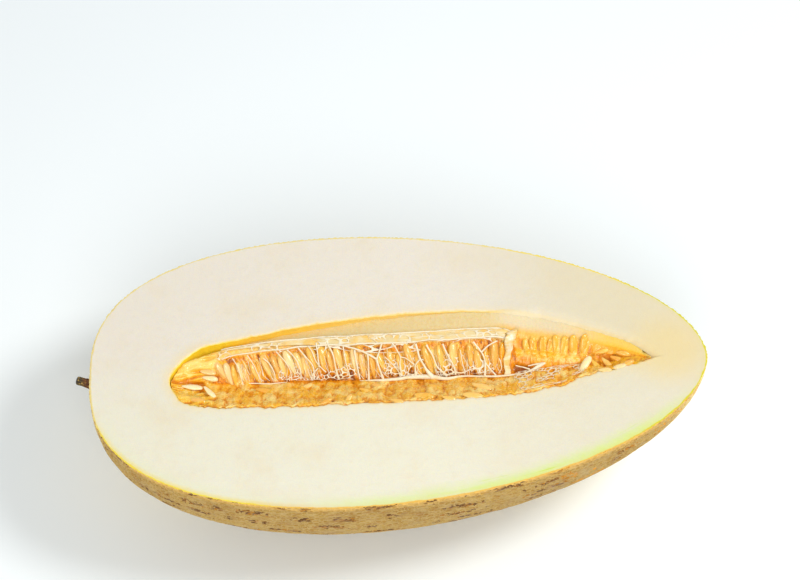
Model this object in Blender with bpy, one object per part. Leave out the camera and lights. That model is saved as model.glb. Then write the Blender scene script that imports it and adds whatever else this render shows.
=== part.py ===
"""Half of a long netted melon, cut lengthwise and lying rind down with its seeds in place.

Frame: metres, +Z up. +X runs along the fruit from the stem end to the blossom end, and the cut
face is level and looks up. The origin is under the middle of the part, on the surface it rests on.
"""

import math
import random

import bmesh
import bpy
from mathutils import Matrix, Vector, noise

MM = 0.001

# Driving dimensions of the fruit
FRUIT_LENGTH = 320 * MM
FRUIT_RADIUS = 85.5 * MM
STEM_END_FULLNESS = 0.38  # a lower power makes that end blunter
BLOSSOM_END_FULLNESS = 0.545
REST_SPOT_DEPTH = 1.5 * MM  # how much of the underside's curve the flat spot takes away
STEM_LENGTH = 9.5 * MM  # with the foot that sits in the fruit
STEM_RADIUS = 2.1 * MM
STEM_FOOT_RADIUS = 2.6 * MM
STEM_FOOT = Vector((-157.8, -0.5, -5.2)) * MM  # from the middle of the fruit on its cut face
STEM_DIRECTION = Vector((-0.90, 0.06, 0.42)).normalized()
STEM_SIDES = 12
STEM_CLEARANCE = 0.35 * MM

# The raised corky net on the rind
NET_FREQUENCY = 9  # cells across each face of the globe that the net is laid out on
NET_JITTER = 0.30  # share of the cell spacing
NET_TOP = 0.2  # height on the globe, in its radii, up to which cells are made before the cut
NET_RIDGE_HALF_WIDTH = 1.2 * MM
NET_RIDGE_HEIGHT = 0.9 * MM
NET_LARGEST_INSET = 0.4  # share of the way from a cell's corner to its middle

# The seed cavity's edge on the cut face, as (x, y) in mm from the middle of the fruit
CAVITY_FAR_EDGE = (
    (-117.6, -5), (-115.5, 3), (-110, 10.5), (-101, 17), (-80, 21.4), (-50, 27.6), (-15, 31.8),
    (20, 33.6), (50, 32.2), (68, 28.8), (88, 22.8), (105, 16), (118, 10.2), (127, 4), (132, -1),
)
CAVITY_NEAR_EDGE = (
    (-117.6, -5), (-115.5, -12), (-110, -17.6), (-100, -20.4), (-60, -22.2), (-20, -22),
    (20, -21.6), (60, -20), (84, -15.4), (95, -11), (106, -7.6), (119, -4.8), (132, -1),
)
CAVITY_DEPTH = 30 * MM
CAVITY_START = -116.8 * MM
CAVITY_END = 131 * MM
CAVITY_STATIONS = 34
CAVITY_FLOOR_STEPS = 10
CAVITY_DEPTH_POWER = 0.85  # how fast the cavity gets shallower as it narrows
CAVITY_BOX_POWER = 0.75  # under 1 makes the floor flatter and the walls steeper than an ellipse
CAVITY_ROUGHNESS = 0.5 * MM
CAVITY_LUMP = 7 * MM
CUTTER_RISE = 6 * MM  # how far the cavity cutter stands above the cut face

# The crest lines of the seed pulp, in mm: x, then y and z of its back crest, of the front crest
# above the seed row, and of the ledge at the row's foot. z is measured from the cut face.
PULP_LINES = (
    (-113, -0.6, -6, -2.6, -6, -5.6, -7),
    (-103, 8, -4, 4, -5, -2, -9.5),
    (-86, 17.8, -3.2, 13.4, -4, 2.4, -14),
    (-50, 21.4, -3, 17.6, -4, 2.3, -15.5),
    (0, 22.5, -3, 17.7, -4, 2.0, -15.5),
    (54, 23.2, -3, 18.3, -4, 1.8, -15.5),
    (66, 19.4, -3.5, 13.4, -8, 2.3, -13),
    (90, 14.6, -3, 9.4, -8, 2.4, -9.5),
    (112, 8.6, -3, 5.7, -5, 2.3, -6.5),
    (123, 4.2, -2.6, 3.4, -2.9, 2.4, -3.3),
)
PULP_NEAR_INSET = 1.6 * MM
PULP_NEAR_CREST = -2.6 * MM
PULP_BACK_FOOT = 0.45  # share of the cavity's depth at which the block's back meets the wall
PULP_CLEARANCE = 1.2 * MM
PULP_STATIONS = 34
PULP_ROUGHNESS = 0.7 * MM
PULP_LUMP = 6 * MM
PULP_BAND = 12 * MM  # the mean width of one stretch of the pulp's top, crest to crest
PULP_START = -113 * MM
PULP_END = 123 * MM

# Seeds
SEED_LENGTH = 12.4 * MM
SEED_WIDTH = 5.0 * MM
SEED_THICKNESS = 2.4 * MM
ROW_START = -90 * MM
ROW_END = 54 * MM
ROW_PITCH = 4.8 * MM

# The pale web over the seed row
MEMBRANE_START = -90 * MM
MEMBRANE_HALF_WIDTH = 2.6 * MM
MEMBRANE_TAPER = 45 * MM  # the stretch at the stem end over which it widens
LEDGE_START = -66 * MM
LEDGE_HALF_WIDTH = 0.7 * MM
WEB_END = 57 * MM
WEB_THICKNESS = 0.9 * MM
WEB_STANDOFF = 0.6 * MM
WEB_RISE = 4.4 * MM  # how far the strands arch off the pulp, clear of the seeds
RIBBON_LIFT = 1.6 * MM
STRANDS = 26
STRAND_HALF_WIDTH = 0.5 * MM
STRAP_X = 55 * MM
STRAP_HALF_WIDTH = 1.9 * MM
STRAP_THICKNESS = 1.2 * MM

SEED_OF_NET, SEED_OF_KERNELS, SEED_OF_WEB = 11, 5, 23

CUT_FACE_Z = FRUIT_RADIUS - REST_SPOT_DEPTH
STEM_REACH = 7.2 * MM  # how far the stem stands out beyond the fruit's end
MIDDLE_X = STEM_REACH / 2  # puts the origin under the middle of fruit and stem together


def curve_through(points, scale=MM):
    """A smooth function of x through the points, level with its end points outside them."""
    knots = [(x * scale, y * scale) for x, y in points]
    slopes = []
    for i in range(len(knots)):
        before, after = knots[max(i - 1, 0)], knots[min(i + 1, len(knots) - 1)]
        slopes.append((after[1] - before[1]) / (after[0] - before[0]))

    def value(x):
        if x <= knots[0][0]:
            return knots[0][1]
        if x >= knots[-1][0]:
            return knots[-1][1]
        i = max(k for k in range(len(knots)) if knots[k][0] <= x)
        (x0, y0), (x1, y1) = knots[i], knots[i + 1]
        step = x1 - x0
        t = (x - x0) / step
        rise = y0 * (1 + 2 * t) * (1 - t) ** 2 + y1 * t * t * (3 - 2 * t)
        return rise + step * t * (1 - t) * (slopes[i] * (1 - t) - slopes[i + 1] * t)

    return value


far_edge = curve_through(CAVITY_FAR_EDGE)
near_edge = curve_through(CAVITY_NEAR_EDGE)
back_y, back_z, front_y, front_z, ledge_y, ledge_z = (
    curve_through([(row[0], row[column]) for row in PULP_LINES]) for column in range(1, 7)
)


def fruit_radius(share):
    """The fruit's radius at that share of its length, counted from the stem end."""
    a, b = STEM_END_FULLNESS, BLOSSOM_END_FULLNESS
    widest = a / (a + b)
    share = min(max(share, 0.0), 1.0)
    return FRUIT_RADIUS * (share / widest) ** a * ((1 - share) / (1 - widest)) ** b


def on_fruit(direction):
    """The point of the smooth rind that a point of the unit globe stands for."""
    share = (1 + direction.x) / 2
    around = math.hypot(direction.y, direction.z)
    if around < 1e-9:
        return Vector((FRUIT_LENGTH * (share - 0.5), 0, 0))
    radius = fruit_radius(share)
    return Vector((
        FRUIT_LENGTH * (share - 0.5),
        radius * direction.y / around,
        radius * direction.z / around,
    ))


def placed(point):
    """From the fruit's own middle on its cut face to the part's frame."""
    return Vector((point[0] + MIDDLE_X, point[1], point[2] + CUT_FACE_Z))


def material(name, colour, roughness):
    made = bpy.data.materials.new(name)
    made.use_nodes = True
    shader = made.node_tree.nodes["Principled BSDF"]
    shader.inputs["Base Color"].default_value = (*colour, 1)
    shader.inputs["Roughness"].default_value = roughness
    shader.inputs["Metallic"].default_value = 0
    return made


def new_collection(name):
    made = bpy.data.collections.new(name)
    bpy.context.scene.collection.children.link(made)
    return made


def object_from(name, bm, finish=None, collection=None):
    """An object whose mesh is closed, triangulated and facing out."""
    bmesh.ops.triangulate(bm, faces=bm.faces[:])
    bmesh.ops.recalc_face_normals(bm, faces=bm.faces[:])
    if bm.calc_volume(signed=True) < 0:
        bmesh.ops.reverse_faces(bm, faces=bm.faces[:])
    mesh = bpy.data.meshes.new(name)
    bm.to_mesh(mesh)
    bm.free()
    if finish:
        mesh.materials.append(finish)
    made = bpy.data.objects.new(name, mesh)
    (collection or bpy.context.scene.collection).objects.link(made)
    return made


def shade_round(thing, sharp_angle):
    thing.data.shade_smooth()
    thing.data.set_sharp_from_angle(angle=math.radians(sharp_angle))


def loft(bm, rings):
    """Joins closed rings of points, one after another, and closes both ends."""
    rows = [[bm.verts.new(point) for point in ring] for ring in rings]
    for first, second in zip(rows, rows[1:]):
        for i in range(len(first)):
            j = (i + 1) % len(first)
            bm.faces.new((first[i], first[j], second[j], second[i]))
    bm.faces.new(rows[0])
    bm.faces.new(rows[-1])


def apply_boolean(thing, operation, other=None, collection=None, solver="EXACT"):
    """Cuts or joins, keeps the result as the object's own mesh, and removes what it was made with."""
    modifier = thing.modifiers.new("join", "BOOLEAN")
    modifier.operation = operation
    modifier.solver = solver
    if collection:
        modifier.operand_type = "COLLECTION"
        modifier.collection = collection
    else:
        modifier.object = other
    graph = bpy.context.evaluated_depsgraph_get()
    mesh = bpy.data.meshes.new_from_object(thing.evaluated_get(graph))
    thing.modifiers.clear()
    thing.data = mesh
    for used in list(collection.objects) if collection else [other]:
        bpy.data.objects.remove(used)
    if collection:
        bpy.data.collections.remove(collection)


# The fruit: rind and flesh in one piece


def net_layout():
    """A globe of even triangles whose corners are shaken out of line, one net cell round each."""
    bm = bmesh.new()
    bmesh.ops.create_icosphere(bm, subdivisions=1, radius=1)
    bmesh.ops.subdivide_edges(bm, edges=bm.edges[:], cuts=NET_FREQUENCY - 1, use_grid_fill=True)
    spacing = math.sqrt(4 * math.pi / len(bm.verts))
    shake = random.Random(SEED_OF_NET)
    for corner in bm.verts:
        corner.co.normalize()
        push = Vector([shake.uniform(-1, 1) for _ in range(3)]) * NET_JITTER * spacing
        corner.co = (corner.co + push - corner.co * push.dot(corner.co)).normalized()
    return bm


def net_cells(bm):
    """For each cell of the lower half, its corners in order round it, as faces of the layout."""
    cells = []
    for corner in bm.verts:
        if corner.co.z > NET_TOP:
            continue
        across = corner.co.orthogonal().normalized()
        along = corner.co.cross(across)

        def bearing(face):
            offset = face.calc_center_median() - corner.co
            return math.atan2(offset.dot(along), offset.dot(across))

        cells.append(sorted(corner.link_faces, key=bearing))
    return cells


def netted_rind():
    """The rind's skin: flat cells between raised ridges, as one open sheet."""
    layout = net_layout()
    cells = net_cells(layout)
    bm = bmesh.new()
    crest = {}
    for face in dict.fromkeys(face for cell in cells for face in cell):
        crest[face] = bm.verts.new(on_fruit(face.calc_center_median().normalized()))
    for cell in cells:
        corners = [crest[face] for face in cell]
        middle = sum((corner.co for corner in corners), Vector()) / len(corners)
        outward = Vector((0, 0, 0))
        for i, corner in enumerate(corners):
            outward += (corners[i - 1].co - middle).cross(corner.co - middle)
        drop = outward.normalized() * NET_RIDGE_HEIGHT
        floor = []
        for corner in corners:
            inward = middle - corner.co
            inset = min(NET_RIDGE_HALF_WIDTH / inward.length, NET_LARGEST_INSET)
            floor.append(bm.verts.new(corner.co + inward * inset - drop))
        for i in range(len(corners)):
            bm.faces.new((corners[i - 1], corners[i], floor[i], floor[i - 1]))
        bm.faces.new(floor)
    layout.free()
    return bm


def melon_half():
    bm = netted_rind()
    bmesh.ops.recalc_face_normals(bm, faces=bm.faces[:])
    bmesh.ops.triangulate(bm, faces=bm.faces[:])
    bmesh.ops.bisect_plane(
        bm, geom=bm.verts[:] + bm.edges[:] + bm.faces[:], dist=1e-6, plane_co=(0, 0, 0),
        plane_no=(0, 0, 1), clear_outer=True,
    )
    bmesh.ops.holes_fill(bm, edges=[edge for edge in bm.edges if edge.is_boundary])
    for vertex in bm.verts:
        vertex.co = placed(vertex.co)
        vertex.co.z = max(vertex.co.z, 0)
    resting = [face for face in bm.faces if all(corner.co.z == 0 for corner in face.verts)]
    bmesh.ops.dissolve_faces(bm, faces=resting, use_verts=True)
    half = object_from("melon_half", bm, material("rind and flesh", (0.90, 0.84, 0.62), 0.45))
    apply_boolean(half, "DIFFERENCE", cavity_cutter())
    apply_boolean(half, "DIFFERENCE", stem_socket_cutter())
    shade_round(half, 35)


# The seed cavity


def stations(start, end, steps):
    """Places along the fruit, closer together toward both ends."""
    middle, reach = (start + end) / 2, (end - start) / 2
    return [middle - reach * math.cos(math.pi * step / steps) for step in range(steps + 1)]


def cavity_floor(x, angle, inset=0.0):
    """A point of the cavity's wall at x. The angle runs from 0 at the far edge to pi at the near edge."""
    far, near = far_edge(x), near_edge(x)
    half_width = max((far - near) / 2 - inset, 0.1 * MM)
    widest = (far_edge(0) - near_edge(0)) / 2
    full_depth = CAVITY_DEPTH * ((far - near) / 2 / widest) ** CAVITY_DEPTH_POWER
    depth = max(full_depth - inset, 0.1 * MM)
    place = Vector((x, half_width * math.cos(angle), 0))
    fade = math.sin(angle)
    rough = CAVITY_ROUGHNESS * noise.noise(place / CAVITY_LUMP) * fade
    return Vector((
        x,
        (far + near) / 2 + half_width * math.cos(angle) + rough,
        -depth * fade ** CAVITY_BOX_POWER + rough,
    ))


def cavity_cutter():
    rings = []
    for x in stations(CAVITY_START, CAVITY_END, CAVITY_STATIONS):
        ring = [
            cavity_floor(x, math.pi * i / CAVITY_FLOOR_STEPS) for i in range(CAVITY_FLOOR_STEPS + 1)
        ]
        ring[0].z = ring[-1].z = CUTTER_RISE
        rings.append([placed(point) for point in ring])
    bm = bmesh.new()
    loft(bm, rings)
    return object_from("cavity cutter", bm)


# The seed pulp with its seeds


def pulp_lines(x):
    """The crest points of the pulp's top at x, from the near edge to the far side."""
    shrink = min(1.0, (far_edge(x) - near_edge(x)) / (20 * MM))
    near = Vector((x, near_edge(x) + PULP_NEAR_INSET * shrink, PULP_NEAR_CREST))
    return (
        near,
        Vector((x, ledge_y(x), ledge_z(x))),
        Vector((x, front_y(x), front_z(x))),
        Vector((x, back_y(x), back_z(x))),
    )


def pulp_top(x, across):
    """A point of the pulp's top. across is 0 at the near crest, 1 at the ledge, 2 and 3 at the block."""
    lines = pulp_lines(x)
    i = min(int(across), 2)
    return lines[i].lerp(lines[i + 1], across - i)


def pulp_outward(x, across):
    step = 1 * MM
    along = pulp_top(x + step, across) - pulp_top(x - step, across)
    up_slope = pulp_top(x, min(across + 0.1, 2.99)) - pulp_top(x, across - 0.1)
    return along.cross(up_slope).normalized()


def pulp_section(x):
    """The pulp's closed outline at x: over its top from near to far, then back along the cavity."""
    top = []
    for across in (0, 0.5, 1, 1.5, 2, 3):
        point = pulp_top(x, across)
        rough = noise.noise(Vector((x, across * PULP_BAND, 0)) / PULP_LUMP)
        top.append(point + Vector((0, 0.3, 1)) * rough * PULP_ROUGHNESS)
    back_angle = math.asin(PULP_BACK_FOOT)
    near_angle = math.pi - 0.22
    steps = 5
    floor = [
        cavity_floor(x, back_angle + (near_angle - back_angle) * i / steps, PULP_CLEARANCE)
        for i in range(steps + 1)
    ]
    return top + floor


def seed_mesh():
    """A flat pointed oval: one ring of seven points and a crown on either face."""
    side_points = [(0.3, 0.38), (0.68, 0.5), (0.97, 0.22)]
    outline = [(0, 0), *side_points, *((u, -w) for u, w in reversed(side_points))]
    bm = bmesh.new()
    ring = [
        bm.verts.new(((u - 0.5) * SEED_LENGTH, w * SEED_WIDTH, 0)) for u, w in outline
    ]
    for side in (1, -1):
        crown = bm.verts.new((0.08 * SEED_LENGTH, 0, side * SEED_THICKNESS / 2))
        for i in range(len(ring)):
            bm.faces.new((ring[i - 1], ring[i], crown))
    bmesh.ops.recalc_face_normals(bm, faces=bm.faces[:])
    mesh = bpy.data.meshes.new("seed")
    bm.to_mesh(mesh)
    bm.free()
    return mesh


def seed_places():
    """Where each seed sits: x, how far across the pulp's top, its heading, its roll and its stand.

    A heading of 0 lies along the fruit and 90 points up the slope. A roll of 0 lies flat, and a stand
    of 1 rests it on the pulp's surface by its lower face.
    """
    draw = random.Random(SEED_OF_KERNELS)
    places = []

    def row(start, end, gap, across, headings, rolls, stand):
        x = start
        while x < end:
            places.append((
                x, draw.uniform(*across), draw.uniform(*headings), draw.uniform(*rolls), stand,
            ))
            x += gap * draw.uniform(0.88, 1.12)

    # The row that stands on the slope, a step below its crest, with a few seeds between the others
    x = ROW_START
    while x < ROW_END:
        slope = (pulp_top(x, 2) - pulp_top(x, 1)).length
        across = 2 - (SEED_LENGTH / 2 + draw.uniform(1.0, 2.2) * MM) / slope
        places.append((x, across, draw.uniform(84, 110), draw.uniform(20, 55), 0.75))
        x += ROW_PITCH * draw.uniform(0.9, 1.1)
    row(-66 * MM, 50 * MM, 13 * MM, (1.46, 1.54), (70, 110), (0, 30), 0.5)
    # The seeds that lie below it on the near side
    row(-97 * MM, 80 * MM, 9 * MM, (0.18, 0.27), (-22, 22), (-25, 25), 0.6)
    row(-92 * MM, 88 * MM, 9.6 * MM, (0.42, 0.52), (-35, 35), (-25, 25), 0.6)
    row(-82 * MM, 66 * MM, 12 * MM, (0.62, 0.68), (-25, 25), (-20, 20), 0.6)
    # The jumble toward the blossom end
    row(66 * MM, 104 * MM, 4.8 * MM, (2.2, 2.4), (76, 100), (15, 45), 0.6)
    row(72 * MM, 116 * MM, 4.4 * MM, (0.9, 1.6), (-70, 60), (-25, 25), 0.7)
    # Bare seeds at the stem end, and one that lies loose near the other end
    places.extend([
        (-105 * MM, 0.45, 4, 8, 0.85), (-97 * MM, 0.7, -48, 12, 0.85), (-99 * MM, 1.35, 3, -6, 0.85),
        (-100 * MM, 1.75, 14, 10, 0.6), (97 * MM, 0.95, 52, 6, 1.0),
    ])
    return places


def seeds():
    """The seeds as objects in one collection, each sunk into the pulp."""
    kernel = seed_mesh()
    group = new_collection("seeds")
    for number, (x, across, heading, roll, stand) in enumerate(seed_places()):
        outward = pulp_outward(x, across)
        forward = Vector((1, 0, 0))
        forward = (forward - outward * forward.dot(outward)).normalized()
        seat = Matrix((forward, outward.cross(forward), outward)).transposed().to_4x4()
        turn = Matrix.Rotation(math.radians(heading), 4, "Z") @ Matrix.Rotation(math.radians(roll), 4, "X")
        seed = bpy.data.objects.new(f"seed {number}", kernel)
        centre = pulp_top(x, across) + outward * stand * SEED_THICKNESS / 2
        seed.matrix_world = Matrix.Translation(placed(centre)) @ seat @ turn
        group.objects.link(seed)
    return group


def seed_pulp():
    rings = []
    for x in stations(PULP_START, PULP_END, PULP_STATIONS):
        rings.append([placed(point) for point in pulp_section(x)])
    bm = bmesh.new()
    loft(bm, rings)
    pulp = object_from("seed_pulp", bm, material("seed pulp", (0.93, 0.62, 0.16), 0.35))
    apply_boolean(pulp, "UNION", collection=seeds(), solver="MANIFOLD")
    shade_round(pulp, 50)


# The pale web of membranes and strands over the seed row


def above_pulp(x, across, lift):
    return pulp_top(x, across) + pulp_outward(x, across) * lift


def ribbon(name, path, sides, half_widths, thickness, collection):
    """A flat band along a path. sides holds the direction of its width at each point."""
    rings = []
    for i, point in enumerate(path):
        along = (path[min(i + 1, len(path) - 1)] - path[max(i - 1, 0)]).normalized()
        across = (sides[i] - along * sides[i].dot(along)).normalized()
        edge = across * half_widths[i]
        rise = along.cross(across) * thickness / 2
        corners = (point - edge - rise, point + edge - rise, point + edge + rise, point - edge + rise)
        rings.append([placed(corner) for corner in corners])
    bm = bmesh.new()
    loft(bm, rings)
    return object_from(name, bm, collection=collection)


def long_ribbon(name, start, across, half_width, taper, collection):
    """A band that runs along the fruit on the pulp, narrow where it starts."""
    steps = 18
    xs = [start + (WEB_END - start) * i / steps for i in range(steps + 1)]
    path = [above_pulp(x, across, WEB_STANDOFF + RIBBON_LIFT) for x in xs]
    sides = [pulp_top(x, 3) - pulp_top(x, 2) for x in xs]
    half_widths = [half_width * (0.3 + 0.7 * min((x - start) / taper, 1)) for x in xs]
    return ribbon(name, path, sides, half_widths, WEB_THICKNESS, collection)


def strand(name, top_x, foot_x, half_width, thickness, collection):
    """A band from the membrane's front edge down over the seeds to the ledge."""
    path = []
    for share, across, lift in ((0, 2.25, 0.25), (0.3, 1.93, 0.8), (0.7, 1.4, 1.0), (1, 0.98, 0.35)):
        x = top_x + (foot_x - top_x) * share
        path.append(above_pulp(x, across, WEB_STANDOFF + WEB_RISE * lift))
    sides = [Vector((1, 0, 0))] * len(path)
    return ribbon(name, path, sides, [half_width] * len(path), thickness, collection)


def fibre_web():
    web = long_ribbon("fibre_web", MEMBRANE_START, 2.5, MEMBRANE_HALF_WIDTH, MEMBRANE_TAPER, None)
    web.data.materials.append(material("pale fibre", (0.97, 0.91, 0.74), 0.4))
    bands = new_collection("web bands")
    long_ribbon("ledge band", LEDGE_START, 1.0, LEDGE_HALF_WIDTH, MEMBRANE_TAPER, bands)
    draw = random.Random(SEED_OF_WEB)
    first, last = LEDGE_START + 2 * MM, STRAP_X - 5 * MM
    pitch = (last - first) / (STRANDS - 1)
    for i in range(STRANDS):
        top_x = first + pitch * (i + draw.uniform(-0.25, 0.25))
        foot_x = top_x + draw.uniform(-2, 5) * MM
        strand(f"strand {i}", top_x, foot_x, STRAND_HALF_WIDTH, 2 * STRAND_HALF_WIDTH, bands)
    strand("strap", STRAP_X, STRAP_X + 1 * MM, STRAP_HALF_WIDTH, STRAP_THICKNESS, bands)
    apply_boolean(web, "UNION", collection=bands)
    shade_round(web, 40)


# The stem stub


def stem_rings(levels):
    """Rings round the stem's axis. A level is a distance along it, a radius and the depth of fluting."""
    across = STEM_DIRECTION.orthogonal().normalized()
    along = STEM_DIRECTION.cross(across)
    rings = []
    for distance, radius, fluting in levels:
        ring = []
        for i in range(STEM_SIDES):
            angle = 2 * math.pi * i / STEM_SIDES
            reach = radius * (1 + (fluting if i % 2 else -fluting))
            offset = across * math.cos(angle) + along * math.sin(angle)
            ring.append(placed(STEM_FOOT + STEM_DIRECTION * distance + offset * reach))
        rings.append(ring)
    return rings


def stem():
    bm = bmesh.new()
    loft(bm, stem_rings((
        (0, STEM_FOOT_RADIUS, 0),
        (0.25 * STEM_LENGTH, 0.97 * STEM_FOOT_RADIUS, 0.04),
        (0.38 * STEM_LENGTH, STEM_RADIUS, 0.09),
        (0.84 * STEM_LENGTH, 0.95 * STEM_RADIUS, 0.09),
        (0.95 * STEM_LENGTH, 1.12 * STEM_RADIUS, 0.07),
        (STEM_LENGTH, 0.9 * STEM_RADIUS, 0.05),
    )))
    stub = object_from("stem", bm, material("dry stem", (0.24, 0.19, 0.09), 0.8))
    shade_round(stub, 30)


def stem_socket_cutter():
    """A plain hole for the stem's foot, a little wider and deeper than the foot is."""
    wide = STEM_FOOT_RADIUS + STEM_CLEARANCE
    bm = bmesh.new()
    loft(bm, stem_rings(((-STEM_CLEARANCE, wide, 0), (STEM_LENGTH, wide, 0))))
    return object_from("stem socket cutter", bm)


def clear_scene():
    for thing in list(bpy.data.objects):
        bpy.data.objects.remove(thing)


def main():
    clear_scene()
    melon_half()
    seed_pulp()
    fibre_web()
    stem()


main()
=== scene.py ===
"""The looks of half a long netted melon that lies rind down, cut face up, with its seeds in place.

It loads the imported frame, makes a dressed piece for each of its nodes, and lights the part.
Everything is in metres. +X runs from the stem end to the blossom end, and +Z is up.
"""

import functools
import math
import random
from collections import namedtuple

import bmesh
import bpy
from mathutils import Matrix, Vector, noise
from mathutils.geometry import delaunay_2d_cdt


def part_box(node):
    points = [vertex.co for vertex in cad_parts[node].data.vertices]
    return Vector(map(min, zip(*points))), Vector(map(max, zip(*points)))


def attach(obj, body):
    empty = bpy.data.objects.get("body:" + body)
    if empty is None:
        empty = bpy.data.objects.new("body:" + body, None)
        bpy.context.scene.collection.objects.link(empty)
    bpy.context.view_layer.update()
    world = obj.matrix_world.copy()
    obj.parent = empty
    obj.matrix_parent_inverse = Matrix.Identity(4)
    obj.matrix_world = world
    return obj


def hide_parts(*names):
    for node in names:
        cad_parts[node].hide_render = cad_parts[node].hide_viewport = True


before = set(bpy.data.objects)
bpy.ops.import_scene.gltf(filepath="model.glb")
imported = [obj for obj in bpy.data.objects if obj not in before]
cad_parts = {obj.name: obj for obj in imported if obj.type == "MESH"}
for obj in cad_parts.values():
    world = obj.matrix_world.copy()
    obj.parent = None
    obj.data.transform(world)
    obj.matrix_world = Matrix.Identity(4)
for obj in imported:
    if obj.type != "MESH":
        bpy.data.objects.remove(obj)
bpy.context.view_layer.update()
_, HALF_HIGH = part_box("melon_half")

bl_info = {
    "name": "Melon half",
    "version": (1, 0, 0),
    "blender": (4, 5, 0),
    "location": "3D View > Sidebar > Melon",
    "description": "Dresses the packed half melon with its net, flesh, pulp, seeds, fibres and stem",
    "category": "Object",
}

MM = 0.001

# The fruit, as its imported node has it
CUT_FACE_Z = HALF_HIGH.z
FRUIT_LENGTH = 320 * MM
FRUIT_RADIUS = 85.5 * MM
MIDDLE_X = 3.6 * MM  # half of how far the stem stands out beyond the fruit's end
STEM_END_FULLNESS = 0.38
BLOSSOM_END_FULLNESS = 0.545

# The seed cavity, in mm from the middle of the fruit on its cut face
CAVITY_FAR_EDGE = (
    (-118.5, -3.8), (-118, -0.8), (-116.2, 2.6), (-112.6, 7.8), (-108, 12), (-101, 17), (-80, 21.4),
    (-50, 27.6), (-15, 31.8),
    (20, 33.6), (50, 32.2), (68, 28.8), (88, 22.8), (105, 16), (118, 10.2), (127, 4), (132, -1),
)
CAVITY_NEAR_EDGE = (
    (-118.5, -3.8), (-118, -6.4), (-115.8, -11.4), (-113, -15.6), (-109, -18.2), (-100, -20.4),
    (-60, -22.2), (-20, -22),
    (20, -21.6), (60, -20), (84, -15.4), (95, -11), (106, -7.6), (119, -4.8), (132, -1),
)
CAVITY_DEPTH = 30 * MM
CAVITY_START = -118.3 * MM
CAVITY_END = 131 * MM
CAVITY_TIP = (140 * MM, 4 * MM, 0)  # the middle of the stained flesh beyond its end
CAVITY_DEPTH_POWER = 0.85
CAVITY_BOX_POWER = 0.75

# The pulp's crest lines, in mm: x, then y and z of its back crest, of the front crest above the
# seed row, and of the ledge at the row's foot
PULP_LINES = (
    (-117.9, -2.9, -1.4, -3.3, -1.6, -4.2, -2.0),
    (-116, 1.2, -2.2, -1.4, -3.0, -4.6, -3.6),
    (-112.5, 6.2, -2.5, 2.6, -3.8, -5.0, -5.6),
    (-103, 11.2, -2.7, 6.5, -4.4, -2, -9.5),
    (-95.5, 15.0, -2.8, 10.5, -4.2, 0.5, -12),
    (-86, 18.0, -3.0, 13.6, -4, 2.4, -14),
    (-50, 21.4, -3, 17.6, -4, 2.3, -15.5),
    (0, 22.5, -3, 17.7, -4, 2.0, -15.5),
    (54, 23.2, -3, 18.3, -4, 1.8, -15.5),
    (66, 19.4, -3.5, 13.4, -8, 2.3, -13),
    (90, 14.6, -3, 9.4, -8, 2.4, -9.5),
    (112, 8.6, -3, 5.7, -5, 2.3, -6.5),
    (123, 4.2, -2.6, 3.4, -2.9, 2.4, -3.3),
    (130.5, 0.6, -1.8, 0.3, -1.8, -0.2, -1.9),
)
PULP_START = -117.9 * MM
PULP_END = 130.5 * MM
PULP_FULL_WIDTH = 20 * MM  # where the cavity is narrower, its edges are torn less
PULP_NEAR_INSET = 0.2 * MM
PULP_END_OVERLAP = 0.7 * MM  # how far it runs in under the near edge at both ends
PULP_NEAR_CREST = -0.45 * MM
PULP_BACK_STEP = 0.9 * MM  # behind the block's back crest
PULP_BACK_DROP = 2.2 * MM
PULP_LUMPS = (7 * MM, 2.7 * MM, 1.0 * MM)  # the sizes of its swellings, lumps and beads
PULP_BEND = 0.14  # how far on either side of a crest line the bend there is rounded
PULP_CLEARANCE = 1.0 * MM
PULP_CEILING = -0.25 * MM

SEED_LENGTH = 12.4 * MM
SEED_WIDTH = 4.8 * MM
SEED_THICKNESS = 2.4 * MM
SEED_CEILING = 0.4 * MM

STEM_FOOT = Vector((-157.8, -0.5, -5.2)) * MM
STEM_DIRECTION = Vector((-0.90, 0.06, 0.42)).normalized()
STEM_LENGTH = 9.5 * MM
STEM_RADIUS = 2.1 * MM

# The photograph's frame, and where in it the middle of the cut face lies
PHOTO_WIDTH, PHOTO_HEIGHT = 800, 580
FACE_MIDDLE_PIXEL = (399, 366)
SENSOR_WIDTH = 36  # mm
PIXEL = 0.517 * MM  # of the cut face, in the photograph

ROW_STEP = 0.87  # from row to row of a net of even triangles, as a share of their sides


# Small helpers


def colour(red, green, blue):
    """A linear colour from 8-bit values."""
    def linear(value):
        share = value / 255
        return share / 12.92 if share <= 0.04045 else ((share + 0.055) / 1.055) ** 2.4

    return (linear(red), linear(green), linear(blue), 1.0)


def smooth_step(value, start, end):
    """From 0 at start to 1 at end, easing in and out."""
    share = min(max((value - start) / (end - start), 0.0), 1.0)
    return share * share * (3 - 2 * share)


def curve_through(points, scale=MM):
    """A smooth function of x through the points, level with its end points outside them."""
    knots = [(x * scale, y * scale) for x, y in points]
    slopes = []
    for i in range(len(knots)):
        before, after = knots[max(i - 1, 0)], knots[min(i + 1, len(knots) - 1)]
        slopes.append((after[1] - before[1]) / (after[0] - before[0]))

    def value(x):
        if x <= knots[0][0]:
            return knots[0][1]
        if x >= knots[-1][0]:
            return knots[-1][1]
        i = max(k for k in range(len(knots)) if knots[k][0] <= x)
        (x0, y0), (x1, y1) = knots[i], knots[i + 1]
        step = x1 - x0
        t = (x - x0) / step
        rise = y0 * (1 + 2 * t) * (1 - t) ** 2 + y1 * t * t * (3 - 2 * t)
        return rise + step * t * (1 - t) * (slopes[i] * (1 - t) - slopes[i + 1] * t)

    return value


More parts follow.
